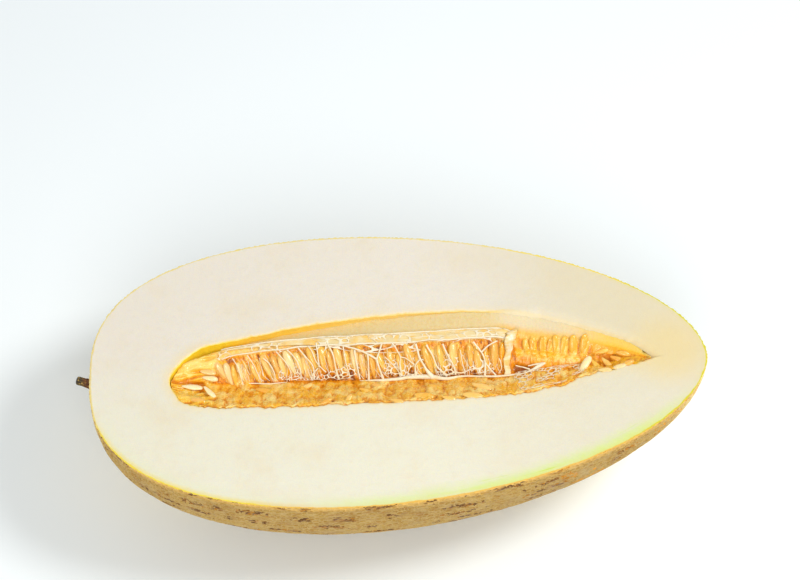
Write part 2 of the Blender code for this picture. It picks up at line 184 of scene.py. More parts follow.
far_edge = curve_through(CAVITY_FAR_EDGE)
near_edge = curve_through(CAVITY_NEAR_EDGE)
back_y, back_z, front_y, front_z, ledge_y, ledge_z = (
    curve_through([(row[0], row[column]) for row in PULP_LINES]) for column in range(1, 7)
)


def placed(point):
    """From the fruit's own middle on its cut face to the part's frame."""
    return Vector((point[0] + MIDDLE_X, point[1], point[2] + CUT_FACE_Z))


def fruit_radius(share):
    """The fruit's radius at that share of its length, counted from the stem end."""
    a, b = STEM_END_FULLNESS, BLOSSOM_END_FULLNESS
    widest = a / (a + b)
    share = min(max(share, 0.0), 1.0)
    return FRUIT_RADIUS * (share / widest) ** a * ((1 - share) / (1 - widest)) ** b


def stations(start, end, steps):
    """Places along the fruit, closer together toward both ends."""
    middle, reach = (start + end) / 2, (end - start) / 2
    return [middle - reach * math.cos(math.pi * step / steps) for step in range(steps + 1)]


def linked(name, data=None):
    """An object of this mesh, light or camera, in the scene."""
    made = bpy.data.objects.new(name, data)
    bpy.context.scene.collection.objects.link(made)
    return made


def object_from(name, bm, *finishes):
    """A smooth object of this mesh with these materials."""
    mesh = bpy.data.meshes.new(name)
    bm.to_mesh(mesh)
    bm.free()
    for finish in finishes:
        mesh.materials.append(finish)
    mesh.shade_smooth()
    return linked(name, mesh)


def face_out(bm):
    bmesh.ops.recalc_face_normals(bm, faces=bm.faces[:])
    if bm.calc_volume(signed=True) < 0:
        bmesh.ops.reverse_faces(bm, faces=bm.faces[:])


def close_loft(bm, rings):
    """Joins closed rings of corners, one after another, and closes both ends."""
    for first, second in zip(rings, rings[1:]):
        for i in range(len(first)):
            j = (i + 1) % len(first)
            bm.faces.new((first[i], first[j], second[j], second[i]))
    bm.faces.new(rings[0])
    bm.faces.new(rings[-1])


def hand_over(piece, slot, *nodes):
    """Hangs the piece on the root body and hides the imported nodes that it stands for. The slot is
    not used.
    """
    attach(piece, "root")
    if nodes:
        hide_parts(*nodes)


# Finer tones of the rind
# Dark grain and streaks, which show stronger on the near side as painted shade
DARK_GRAIN_AND_SHADE = colour(150, 100, 44)
DARK_STREAK_AND_SHADE = colour(160, 108, 40)
UNDER_RIM = colour(236, 188, 98)
# Of the flesh
WARM_CLOUD = colour(225, 211, 180)
GREY_MOTTLE = colour(222, 213, 186)
DIM_FLESH = colour(215, 208, 186)
WARM_FLESH = colour(218, 204, 160)
TIP_FLESH = colour(226, 206, 150)
LIME_STREAK = colour(192, 216, 56)
STEM_END_RIM = colour(228, 206, 140)
EDGE_STAIN = colour(240, 190, 92)
# Of the cavity's wall, and of the flesh that slopes into it
LINING_STREAK = colour(252, 232, 172)
DEEP_LINING = colour(240, 176, 70)
FAINT_AMBER = colour(243, 205, 112)
STEM_END_LINING = colour(246, 218, 46)
SLOPE_TOP = colour(228, 212, 172)
SLOPE_FOOT = colour(246, 206, 110)
TIP_SLOPE_TOP = colour(226, 206, 156)
TIP_SLOPE_FOOT = colour(246, 196, 64)
# Of the pulp
PALE_TOP = colour(244, 212, 140)
GOLD_TOP = colour(248, 196, 80)
TIP_BACK = colour(236, 184, 84)
TIP_GOLD = colour(238, 172, 28)
TIP_HOLLOW_SHADE = colour(204, 118, 8)
THIN_GOLD = colour(236, 188, 90)
THIN_PALE = colour(226, 208, 168)
THIN_TIP = colour(246, 196, 60)
WALL_PALE = colour(223, 201, 148)
WALL_GOLD = colour(218, 188, 120)
FOLD_RIDGE_LIGHT = colour(250, 216, 120)
FOLD_GOLD = colour(244, 184, 46)
FOLD_CREASE_SHADE = colour(214, 128, 8)
# Of the seeds, the fibres, the stem and the floor
WET_HIGHLIGHT = colour(246, 210, 118)
YELLOW_KERNEL = colour(246, 220, 150)
NET_STAIN = colour(238, 184, 92)
FOOT_DARK = colour(74, 32, 6)
FOOT_BROWN = colour(132, 78, 14)
FLOOR_CLOUD = colour(240, 240, 240)


class Nodes:
    """Adds linked nodes to a tree in short calls."""

    def __init__(self, tree):
        self.tree = tree

    def add(self, kind, inputs=None, output=0, **settings):
        """Adds a node, sets or links its inputs by name or number, and returns one output."""
        made = self.tree.nodes.new(kind)
        for name, value in settings.items():
            setattr(made, name, value)
        for key, value in (inputs or {}).items():
            if isinstance(value, bpy.types.NodeSocket):
                self.tree.links.new(value, made.inputs[key])
            elif value is not None:
                made.inputs[key].default_value = value
        return made.outputs[output]

    def math(self, operation, *values):
        return self.add("ShaderNodeMath", dict(enumerate(values)), operation=operation)

    def vector(self, operation, *values):
        return self.add("ShaderNodeVectorMath", dict(enumerate(values)), operation=operation)

    def scaled(self, value, factor):
        return self.add("ShaderNodeVectorMath", {0: value, "Scale": factor}, operation="SCALE")

    def split(self, value):
        made = self.tree.nodes.new("ShaderNodeSeparateXYZ")
        self.tree.links.new(value, made.inputs[0])
        return made.outputs

    def joined(self, x, y, z):
        return self.add("ShaderNodeCombineXYZ", {0: x, 1: y, 2: z})

    def ramp(self, value, start, end, low=0.0, high=1.0):
        """Eases from low to high while the value goes from start to end."""
        return self.add(
            "ShaderNodeMapRange",
            {"Value": value, "From Min": start, "From Max": end, "To Min": low, "To Max": high},
            interpolation_type="SMOOTHSTEP",
        )

    def noise(self, place, size, detail=2.0, roughness=0.5, distortion=0.0):
        """Cloudy noise from 0 to 1 whose lumps are about this size in metres."""
        return self.add("ShaderNodeTexNoise", {
            "Vector": place, "Scale": 1 / size, "Detail": detail, "Roughness": roughness,
            "Distortion": distortion,
        })

    def product(self, *values):
        result = values[0]
        for value in values[1:]:
            result = self.math("MULTIPLY", result, value)
        return result

    def plus(self, value, other, factor=1.0):
        """The value and so many times the other."""
        return self.math("ADD", value, other if factor == 1 else self.product(other, factor))

    def minus(self, value, other):
        return self.math("SUBTRACT", value, other)

    def named(self, name, data_type="FLOAT"):
        """What the geometry's points hold under this name."""
        return self.add("GeometryNodeInputNamedAttribute", {"Name": name}, data_type=data_type)

    def stored(self, geometry, name, value, domain="POINT", selection=None):
        """The geometry with a number stored on its points or faces under this name."""
        return self.add("GeometryNodeStoreNamedAttribute", {
            "Geometry": geometry, "Selection": selection, "Name": name, "Value": value,
        }, data_type="FLOAT", domain=domain)

    def swayed(self, geometry, size, reach):
        """The geometry shaken by soft noise with lumps of this size, by up to half this reach."""
        place = self.add("GeometryNodeInputPosition")
        sway = self.add("ShaderNodeTexNoise", {"Vector": place, "Scale": 1 / size}, output="Color")
        sway = self.scaled(self.vector("SUBTRACT", sway, (0.5, 0.5, 0.5)), reach)
        return self.add("GeometryNodeSetPosition", {"Geometry": geometry, "Offset": sway})

    def sunk_cells(self, cells, share):
        """Each face with a smaller one in it, and which faces those are."""
        sunk = self.add("GeometryNodeExtrudeMesh", {"Mesh": cells, "Offset Scale": 0.0}, mode="FACES")
        floors = sunk.node.outputs["Top"]
        shrunk = self.add(
            "GeometryNodeScaleElements", {"Geometry": sunk, "Selection": floors, "Scale": share},
            domain="FACE",
        )
        return shrunk, floors


class Paint(Nodes):
    """Builds a material round one Principled shader."""

    def __init__(self, name):
        self.material = bpy.data.materials.new(name)
        self.material.use_nodes = True
        super().__init__(self.material.node_tree)
        self.shader = self.tree.nodes["Principled BSDF"]
        self.place = self.add("ShaderNodeTexCoord", output="Object")

    def attribute(self, name):
        return self.add("ShaderNodeAttribute", output="Fac", attribute_name=name)

    def mix(self, share, first, second):
        return self.add("ShaderNodeMix", {0: share, 6: first, 7: second}, output=2, data_type="RGBA")

    def fade(self, first, second, value, start, end, low=0.0, high=1.0):
        """From the first colour to the second while the value goes from start to end.

        Low and high say how much of the second there is before the start and past the end.
        """
        return self.mix(self.ramp(value, start, end, low, high), first, second)

    def bump(self, height, depth, before=None):
        """Relief of this depth in metres, on top of an earlier bump."""
        return self.add("ShaderNodeBump", {"Height": height, "Distance": depth, "Normal": before})

    def finish(self, inputs, wet=(), soft=()):
        """The material. Wet is a coat's share and roughness, and soft is how light goes into it.

        Soft holds the share of such light, its reach in red, green and blue, and its scale.
        """
        inputs |= dict(zip(("Coat Weight", "Coat Roughness"), wet))
        inputs |= dict(zip(("Subsurface Weight", "Subsurface Radius", "Subsurface Scale"), soft))
        for name, value in inputs.items():
            if isinstance(value, bpy.types.NodeSocket):
                self.tree.links.new(value, self.shader.inputs[name])
            else:
                self.shader.inputs[name].default_value = value
        return self.material


SOCKETS = {float: "NodeSocketFloat", int: "NodeSocketInt", bpy.types.Material: "NodeSocketMaterial"}


def new_tree(name, inputs):
    """A geometry tree with the named inputs. Returns it, its node maker, its inputs and its end."""
    tree = bpy.data.node_groups.new(name, "GeometryNodeTree")
    tree.interface.new_socket("Geometry", in_out="INPUT", socket_type="NodeSocketGeometry")
    tree.interface.new_socket("Geometry", in_out="OUTPUT", socket_type="NodeSocketGeometry")
    for label, value in inputs.items():
        socket = tree.interface.new_socket(label, in_out="INPUT", socket_type=SOCKETS[type(value)])
        if not isinstance(value, bpy.types.Material):
            socket.default_value = value
    given = tree.nodes.new("NodeGroupInput").outputs
    return tree, Nodes(tree), given, tree.nodes.new("NodeGroupOutput").inputs[0]


def finish_tree(nodes, given, geometry, end):
    """Ends a tree with plain smooth geometry in its own finish."""
    real = nodes.add("GeometryNodeRealizeInstances", {"Geometry": geometry})
    smooth = nodes.add("GeometryNodeSetShadeSmooth", {"Geometry": real})
    dressed = nodes.add("GeometryNodeSetMaterial", {"Geometry": smooth, "Material": given["Finish"]})
    nodes.tree.links.new(dressed, end)


def grown(name, source, tree, values):
    """The plain mesh that the tree grows from the source object, which is then removed."""
    modifier = source.modifiers.new(name, "NODES")
    modifier.node_group = tree
    for item in tree.interface.items_tree:
        if item.in_out == "INPUT" and item.name in values:
            modifier[item.identifier] = values[item.name]
    graph = bpy.context.evaluated_depsgraph_get()
    mesh = bpy.data.meshes.new_from_object(source.evaluated_get(graph), depsgraph=graph)
    source.modifiers.clear()
    bpy.data.objects.remove(source)
    mesh.name = name
    return linked(name, mesh)


def line_object(name, lines, **values):
    """An object of open lines of points. Each value lists a number or a vector for each point."""
    points = [point for line in lines for point in line]
    edges = []
    start = 0
    for line in lines:
        edges += [(start + i, start + i + 1) for i in range(len(line) - 1)]
        start += len(line)
    mesh = bpy.data.meshes.new(name)
    mesh.from_pydata(points, edges, [])
    for label, numbers in values.items():
        if isinstance(numbers[0], (int, float)):
            mesh.attributes.new(label, "FLOAT", "POINT").data.foreach_set("value", numbers)
        else:
            flat = [number for vector in numbers for number in vector]
            mesh.attributes.new(label, "FLOAT_VECTOR", "POINT").data.foreach_set("vector", flat)
    return linked(name, mesh)


# Settings


def number_property(name, description, default, **kind):
    return bpy.props.FloatProperty(name=name, description=description, default=default, **kind)


def size_property(name, description, default):
    """A length in metres."""
    return number_property(name, description, default, unit="LENGTH", precision=5, min=0)


def angle_property(name, description, degrees):
    return number_property(name, description, math.radians(degrees), subtype="ANGLE")


def share_property(name, description, default):
    return number_property(name, description, default, subtype="FACTOR", min=0, max=1)


def colour_property(name, description, default):
    return bpy.props.FloatVectorProperty(
        name=name, description=description, default=colour(*default), subtype="COLOR", size=4,
        min=0, max=1,
    )


class RindSettings(bpy.types.PropertyGroup):
    cell: size_property("Cell", "Distance from one cell of the net to the next", 3.05 * MM)
    shake: share_property("Shake", "How far a cell strays, as a share of that distance", 0.36)
    relief: size_property("Relief", "Height of the net's ridges", 0.5 * MM)
    cell_share: share_property("Cell share", "Width of a cell's floor in its cell", 0.62)
    lanes: bpy.props.IntProperty(
        name="Lanes", description="Rows of coloured marks round the fruit", default=46, min=4,
    )
    # Painted shade: skin, shade and cork hold the near side's tones, which are darker, tanner copies
    # of the far side's tones that follow
    skin: colour_property("Skin", "The rind between the ridges", (184, 148, 68))
    shade: colour_property("Dull skin", "Its duller patches", (162, 122, 42))
    cork: colour_property("Cork", "The raised net", (198, 168, 106))
    far_skin: colour_property("Fresh skin", "The rind away from the near side", (246, 212, 122))
    far_dull_skin: colour_property("Fresh dull skin", "Its duller patches", (236, 190, 84))
    far_cork: colour_property("Fresh cork", "The net there", (250, 234, 182))
    gold: colour_property("Gold", "The golden marks", (226, 150, 14))
    brown: colour_property("Brown", "The brown marks", (88, 42, 6))


class FleshSettings(bpy.types.PropertyGroup):
    flesh: colour_property("Flesh", "The flesh on the far side", (227, 220, 206))
    green_flesh: colour_property("Cool flesh", "The flesh on the near side", (227, 224, 204))
    lime: colour_property("Lime", "Under the rind on the near side", (206, 226, 116))
    yellow_rim: colour_property("Yellow rim", "The rind's cut edge at the stem end", (232, 208, 66))
    gold_rim: colour_property("Gold rim", "It on the near side", (226, 178, 78))
    pale_rim: colour_property("Pale rim", "It on the far side", (228, 208, 132))
    lime_rim: colour_property("Lime rim", "It at the blossom end", (208, 200, 30))
    halo: colour_property("Halo", "Where the pulp stains the flesh", (236, 214, 158))
    lining: colour_property("Lining", "The wall of the seed cavity", (254, 250, 218))
    amber: colour_property("Amber", "The top of the cavity's wall", (247, 202, 72))
    wave: size_property("Wave", "How far the knife strayed", 0.12 * MM)


class PulpSettings(bpy.types.PropertyGroup):
    gold: colour_property("Gold", "The pulp", (246, 182, 44))
    pale: colour_property("Pale", "Its thin and fibrous parts", (252, 222, 138))
    # Deep and dark are painted shade for the pulp's hollows; deep also darkens small flecks
    deep: colour_property("Deep", "Its hollows", (228, 144, 18))
    dark: colour_property("Dark", "Its deepest hollows", (156, 86, 18))
    lumps: size_property("Lumps", "Height of the lumps of the lower band", 1.1 * MM)
    recess: size_property("Recess", "How far the pulp sinks between the seeds", 1.7 * MM)


class SeedSettings(bpy.types.PropertyGroup):
    gold: colour_property("Gold", "A seed in its wet skin", (242, 182, 44))
    deep: colour_property("Deep", "The darker sides of it", (231, 151, 20))
    bare: colour_property("Bare", "A bare seed", (244, 230, 186))


class WebSettings(bpy.types.PropertyGroup):
    fibre: colour_property("Fibre", "The strands", (240, 228, 200))
    sheet: colour_property("Sheet", "The membrane", (228, 204, 148))
    stain: colour_property("Stain", "Its golden patches", (236, 190, 98))


class StemSettings(bpy.types.PropertyGroup):
    bark: colour_property("Bark", "The dry stem", (74, 62, 24))
    dark: colour_property("Dark", "Its grooves and foot", (44, 22, 6))
    spot: colour_property("Spot", "Its pale scars", (196, 160, 86))


class StageSettings(bpy.types.PropertyGroup):
    floor: colour_property("Floor", "The floor", (245, 252, 255))
    key_power: number_property("Key light", "Power of the large light", 12.0, unit="POWER", min=0)
    front_power: number_property("Front light", "Power of the front light", 11.0, unit="POWER", min=0)
    sky: number_property("Sky", "Strength of the even light from all round", 0.5, min=0)
    azimuth: angle_property("Azimuth", "Where the camera stands round the part", -2.0)
    elevation: angle_property("Elevation", "How high it stands", 55.0)
    roll: angle_property("Roll", "How far it leans", -0.7)
    distance: size_property("Distance", "From the camera to the cut face", 1.5)
    lens: number_property("Lens", "Its focal length in mm", 130.6, min=1)


# The camera, which also says what lies under a pixel of the photograph


def camera_pose(looks):
    """The camera's place and its right, up and back. It aims above the cut face's middle."""
    a, e, lean = looks.azimuth, looks.elevation, looks.roll
    back = Vector((math.sin(a) * math.cos(e), -math.cos(a) * math.cos(e), math.sin(e)))
    level = Vector((math.cos(a), math.sin(a), 0))
    rise = back.cross(level)
    right = level * math.cos(lean) + rise * math.sin(lean)
    up = back.cross(right)
    pixels = looks.lens / SENSOR_WIDTH * PHOTO_WIDTH
    across = (FACE_MIDDLE_PIXEL[0] - PHOTO_WIDTH / 2) / pixels
    down = (FACE_MIDDLE_PIXEL[1] - PHOTO_HEIGHT / 2) / pixels
    spot = placed((0, 0, 0)) + back * looks.distance
    # Turned so that the middle of the cut face falls on its pixel
    forward = (-back - right * across + up * down).normalized()
    right = (right - forward * right.dot(forward)).normalized()
    return spot, right, right.cross(forward), -forward


def seen_at(point):
    """The photograph's pixel at which the camera sees a point of the fruit's own frame."""
    looks = bpy.context.scene.melon_stage
    spot, right, up, back = camera_pose(looks)
    offset = placed(point) - spot
    pixels = looks.lens / SENSOR_WIDTH * PHOTO_WIDTH
    depth = -offset.dot(back)
    return (
        PHOTO_WIDTH / 2 + pixels * offset.dot(right) / depth,
        PHOTO_HEIGHT / 2 - pixels * offset.dot(up) / depth,
    )


def under_pixel(pixel):
    """The place on the pulp's top that a pixel shows, as x and how far across."""
    x = (pixel[0] - FACE_MIDDLE_PIXEL[0]) * PIXEL
    across = 1.5
    for _ in range(3):
        low, high = 0.0, 3.0
        for _ in range(14):
            across = (low + high) / 2
            if seen_at(smooth_top(x, across))[1] > pixel[1]:
                low = across
            else:
                high = across
        x += (pixel[0] - seen_at(smooth_top(x, across))[0]) * PIXEL
        x = min(max(x, PULP_START), PULP_END)
    return x, across


# The fruit: a netted rind, and the flesh with its seed cavity, in one closed piece


def net_layout(looks):
    """A sheet of shaken triangles over the rind, one cell of the net round each corner.

    The corners lie in rings round the fruit. They are joined on a flat map that keeps angles.
    """
    steps = PROFILE_STEPS
    shares = [(1 - math.cos(math.pi * i / steps)) / 2 for i in range(steps + 1)]
    profile = [(FRUIT_LENGTH * (share - 0.5), fruit_radius(share) * SNUG) for share in shares]
    arcs, stretch = [0.0], [0.0]
    for (x0, r0), (x1, r1) in zip(profile, profile[1:]):
        arcs.append(arcs[-1] + math.hypot(x1 - x0, r1 - r0))
        stretch.append(stretch[-1] + (arcs[-1] - arcs[-2]) / max((r0 + r1) / 2, 1e-6))
    middle = stretch[steps // 2]
    draw = random.Random(11)
    on_map, on_rind = [], []

    def corner(i, turn):
        x, radius = profile[i]
        along = math.tanh(stretch[i] - middle)
        around = 1 / math.cosh(stretch[i] - middle)
        rise = 1 + around * math.cos(turn)
        on_map.append(Vector((along / rise, around * math.sin(turn) / rise)))
        on_rind.append(Vector((x, radius * math.sin(turn), -radius * math.cos(turn))))

    row, gap = 0.5, looks.cell * ROW_STEP
    corner(0, 0)
    for i in range(steps + 1):
        if arcs[i] < row * gap:
            continue
        radius = profile[i][1]
        half_turn = min(math.pi, math.pi / 2 + NET_MARGIN / radius)
        count = max(round(2 * half_turn * radius / looks.cell), 3)
        for k in range(count):
            stray = draw.uniform(-1, 1) * looks.shake
            turn = half_turn * (2 * (k + 0.5 + stray) / count - 1)
            slide = round(draw.uniform(-1, 1) * looks.shake * gap / (arcs[i] - arcs[i - 1]))
            corner(min(max(i + slide, 1), steps - 1), turn)
        row += 1
    corner(steps, 0)
    _, _, faces, origins, _, _ = delaunay_2d_cdt(on_map, [], [], 0, 1e-9)
    mesh = bpy.data.meshes.new("net layout")
    mesh.from_pydata([on_rind[origin[0]] for origin in origins], [], faces)
    return linked("net layout", mesh)


def rind_tree(finish):
    """Turns the layout's corners into cells, and sinks each cell between its ridges."""
    tree, nodes, given, end = new_tree("netted rind", {
        "Relief": 0.3 * MM, "Cell Share": 0.6, "Seed": 11, "Finish": finish,
    })
    place = nodes.add("GeometryNodeInputPosition")
    x, y, z = nodes.split(place)
    cells = nodes.add("GeometryNodeDualMesh", {"Mesh": given["Geometry"]})
    cells = nodes.add("GeometryNodeDeleteGeometry", {
        "Geometry": cells, "Selection": nodes.math("GREATER_THAN", z, NET_MARGIN * 0.7),
    }, domain="FACE")

    draw = nodes.add(
        "FunctionNodeRandomValue", {"Seed": given["Seed"]}, output=1, data_type="FLOAT",
    )
    cells = nodes.stored(cells, "cell", draw, domain="FACE")

    # Ridges, which fade here and there
    strength = nodes.noise(place, 14 * MM, detail=3.0, roughness=0.7)
    strength = nodes.ramp(strength, 0.3, 0.6, 0.25, 1.0)
    inward = nodes.scaled(nodes.vector("NORMALIZE", nodes.joined(
        nodes.product(x, (FRUIT_RADIUS / FRUIT_LENGTH * 2) ** 2), y, z,
    )), -1.0)
    cells = nodes.stored(cells, "crest", strength)
    crest = nodes.named("crest")
    missing = nodes.product(nodes.minus(1.0, crest), given["Relief"])
    cells = nodes.add("GeometryNodeSetPosition", {
        "Geometry": cells, "Offset": nodes.scaled(inward, missing),
    })
    shrunk, floors = nodes.sunk_cells(cells, given["Cell Share"])
    lowered = nodes.add("GeometryNodeSetPosition", {
        "Geometry": shrunk, "Selection": floors,
        "Offset": nodes.scaled(inward, nodes.product(crest, given["Relief"])),
    })
    marked = nodes.stored(lowered, "crest", 0.0, selection=floors)
    finish_tree(nodes, given, marked, end)
    return tree


PROFILE_STEPS = 4000
NET_MARGIN = 9 * MM  # how far past the cut the net is laid out before the knife takes it off
SNUG = 0.9996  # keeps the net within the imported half
RIM_WIDTH = 0.9 * MM  # from the outside to the first row of the flesh
FACE_COLUMNS = 240
OUTER_ROWS = (0, 0.9, 2.0, 3.5, 5.5, 8, 11)  # mm from the first row
INNER_ROWS = (8, 5.5, 4, 3, 2.2, 1.5, 1.0, 0.6, 0.3, 0)  # mm from the cavity's edge
MIDDLE_ROWS = 8
WALL_ANGLES = (
    1.2, 2.6, 4.5, 7, 10, 14, 19, 25, 33, 43, 56, 72, 90, 108, 126, 143, 158, 168, 174, 177.5,
)
WALL_ROUGHNESS = 0.5 * MM
WALL_LUMP = 7 * MM
NARROW = 6 * MM  # half a width below which the cavity's edges are torn less
KNIFE_STRAY = 13 * MM  # how long a wave of the cut is across the fruit
SMALL_CELL = 1.15 * MM  # of the pattern within the net's cells
FAR_AWAY = 60  # mm, for places that the paint of the rim and of the edge doesn't reach

# The cavity's edge, in mm: how wide it is rounded over and how deep, and how much more on the far
# side beyond the strap, where the flesh slopes into the cavity
EDGE_ROUNDING, SLOPE_ROUNDING = 1.4, 5.2
EDGE_DROP, SLOPE_DROP = 0.5, 2.6
SLOPE_START, SLOPE_FULL = 56 * MM, 76 * MM


def slope_share(x, side):
    """How much of that slope there is at x. Side is 1 for the far and -1 for the near edge."""
    return smooth_step(x, SLOPE_START, SLOPE_FULL) * (side > 0)


def edge_rounding(x, side):
    return (EDGE_ROUNDING + SLOPE_ROUNDING * slope_share(x, side)) * MM


def edge_drop(x, side):
    return (EDGE_DROP + SLOPE_DROP * slope_share(x, side)) * MM


def cavity_wall(x, angle):
    """A point of the cavity's wall. The angle is 0 at the far edge and 180 at the near edge."""
    turn = math.radians(angle)
    far, near = far_edge(x), near_edge(x)
    half_width = (far - near) / 2
    widest = (far_edge(0) - near_edge(0)) / 2
    depth = CAVITY_DEPTH * (half_width / widest) ** CAVITY_DEPTH_POWER
    across = half_width * math.cos(turn)
    fade = math.sin(turn)
    place = Vector((x, across, 0))
    rough = WALL_ROUGHNESS * noise.noise(place / WALL_LUMP) * fade
    ragged = torn_edge(x, 1 if angle < 90 else -1)
    return Vector((
        x,
        (far + near) / 2 + across + rough + ragged * (1 - fade) * min(half_width / NARROW, 1),
        -depth * fade ** CAVITY_BOX_POWER + rough,
    ))


def rim_point(share, side):
    """A point just inside the rind on the cut face. Side is 1 for the far, -1 for the near half."""
    step = min(share, 1 - share) * 0.02
    before, after = share - step, share + step
    run = FRUIT_LENGTH * (after - before)
    rise = fruit_radius(after) - fruit_radius(before)
    normal = Vector((-rise, run, 0)).normalized()
    at = Vector((FRUIT_LENGTH * (share - 0.5), fruit_radius(share), 0)) - normal * RIM_WIDTH
    return Vector((at.x, at.y * side, 0))


def row_shares(length):
    """How far in from the rim each row of the flesh lies, as a share of the way to the cavity."""
    first, last = OUTER_ROWS[-1] * MM / length, 1 - INNER_ROWS[0] * MM / length
    shares = [row * MM / length for row in OUTER_ROWS]
    shares += [first + (last - first) * i / MIDDLE_ROWS for i in range(1, MIDDLE_ROWS)]
    return shares + [1 - row * MM / length for row in INNER_ROWS]


def flesh_sheet(bm, looks):
    """The cut face inside the rim, and the cavity's wall. Returns the loop of its first row."""
    rim_gap = bm.verts.layers.float["rim_gap"]
    edge_gap = bm.verts.layers.float["edge_gap"]
    xs = stations(CAVITY_START, CAVITY_END, FACE_COLUMNS)
    columns = []
    onward = list(range(FACE_COLUMNS + 1))
    for side, edge_angle, order in ((1, 0, onward), (-1, 180, onward[::-1])):
        for i in order:
            share = (1 - math.cos(math.pi * (i + 0.5) / (FACE_COLUMNS + 1))) / 2
            outer = rim_point(share, side)
            inner = cavity_wall(xs[i], edge_angle)
            length = (outer - inner).length
            column = []
            for part in row_shares(length):
                spot = outer.lerp(inner, part)
                gap = length * (1 - part)
                calm = min(part * length / (6 * MM), 1)
                wave = noise.noise(Vector((spot.x / 3, spot.y, 0)) / KNIFE_STRAY)
                spot.z = looks.wave * (wave - 1) * calm
                rounding = edge_rounding(xs[i], side)
                if gap < rounding:
                    spot.z -= edge_drop(xs[i], side) * (1 - gap / rounding) ** 2
                made = bm.verts.new(spot)
                made[rim_gap] = (RIM_WIDTH + part * length) / MM
                made[edge_gap] = gap / MM
                column.append(made)
            columns.append(column)
    count = len(columns)
    for i in range(count):
        first, second = columns[i], columns[(i + 1) % count]
        for j in range(len(first) - 1):
            bm.faces.new((first[j], second[j], second[j + 1], first[j + 1]))

    # The wall, from the far edge round to the near edge at each station
    sections = []
    for i, x in enumerate(xs):
        section = [columns[i][-1]]
        for angle in WALL_ANGLES:
            spot = cavity_wall(x, angle)
            side = 1 if angle < 90 else -1
            spot.z = min(spot.z, section[0].co.z - 0.1 * MM if side > 0 else -0.6 * MM)
            made = bm.verts.new(spot)
            made[rim_gap] = FAR_AWAY
            made[edge_gap] = spot.z / MM
            section.append(made)
        section.append(columns[count - 1 - i][-1])
        sections.append(section)
    for first, second in zip(sections, sections[1:]):
        for j in range(len(first) - 1):
            bm.faces.new((first[j], second[j], second[j + 1], first[j + 1]))
    bm.faces.new(sections[0])
    bm.faces.new(sections[-1])
    return [column[0] for column in columns]


def cut_melon(rind_looks, flesh_looks, rind_finish, flesh_finish):
    rind = grown("netted rind", net_layout(rind_looks), rind_tree(rind_finish), {
        "Relief": rind_looks.relief, "Cell Share": rind_looks.cell_share, "Finish": rind_finish,
    })
    bm = bmesh.new()
    bm.from_mesh(rind.data)
    bpy.data.objects.remove(rind)
    bmesh.ops.bisect_plane(
        bm, geom=bm.verts[:] + bm.edges[:] + bm.faces[:], dist=1e-6, plane_co=(0, 0, 0),
        plane_no=(0, 0, 1), clear_outer=True,
    )
    for name in ("rim_gap", "edge_gap"):
        bm.verts.layers.float.new(name)
    edge_gap = bm.verts.layers.float["edge_gap"]
    for vertex in bm.verts:
        vertex[edge_gap] = FAR_AWAY
    rind_faces = set(bm.faces)
    rim = [edge for edge in bm.edges if edge.is_boundary]
    loop = flesh_sheet(bm, flesh_looks)
    first_row = [bm.edges.get((loop[i - 1], loop[i])) for i in range(len(loop))]
    bmesh.ops.triangle_fill(bm, edges=rim + first_row, use_beauty=True, normal=(0, 0, 1))
    for face in bm.faces:
        face.material_index = 0 if face in rind_faces else 1
    for vertex in bm.verts:
        vertex.co = placed(vertex.co)
        vertex.co.z = max(vertex.co.z, 0)
    face_out(bm)
    half = object_from("cut_melon", bm, rind_finish, flesh_finish)
    half.data.set_sharp_from_angle(angle=math.radians(50))
    hand_over(half, "rind", "melon_half")
    return half


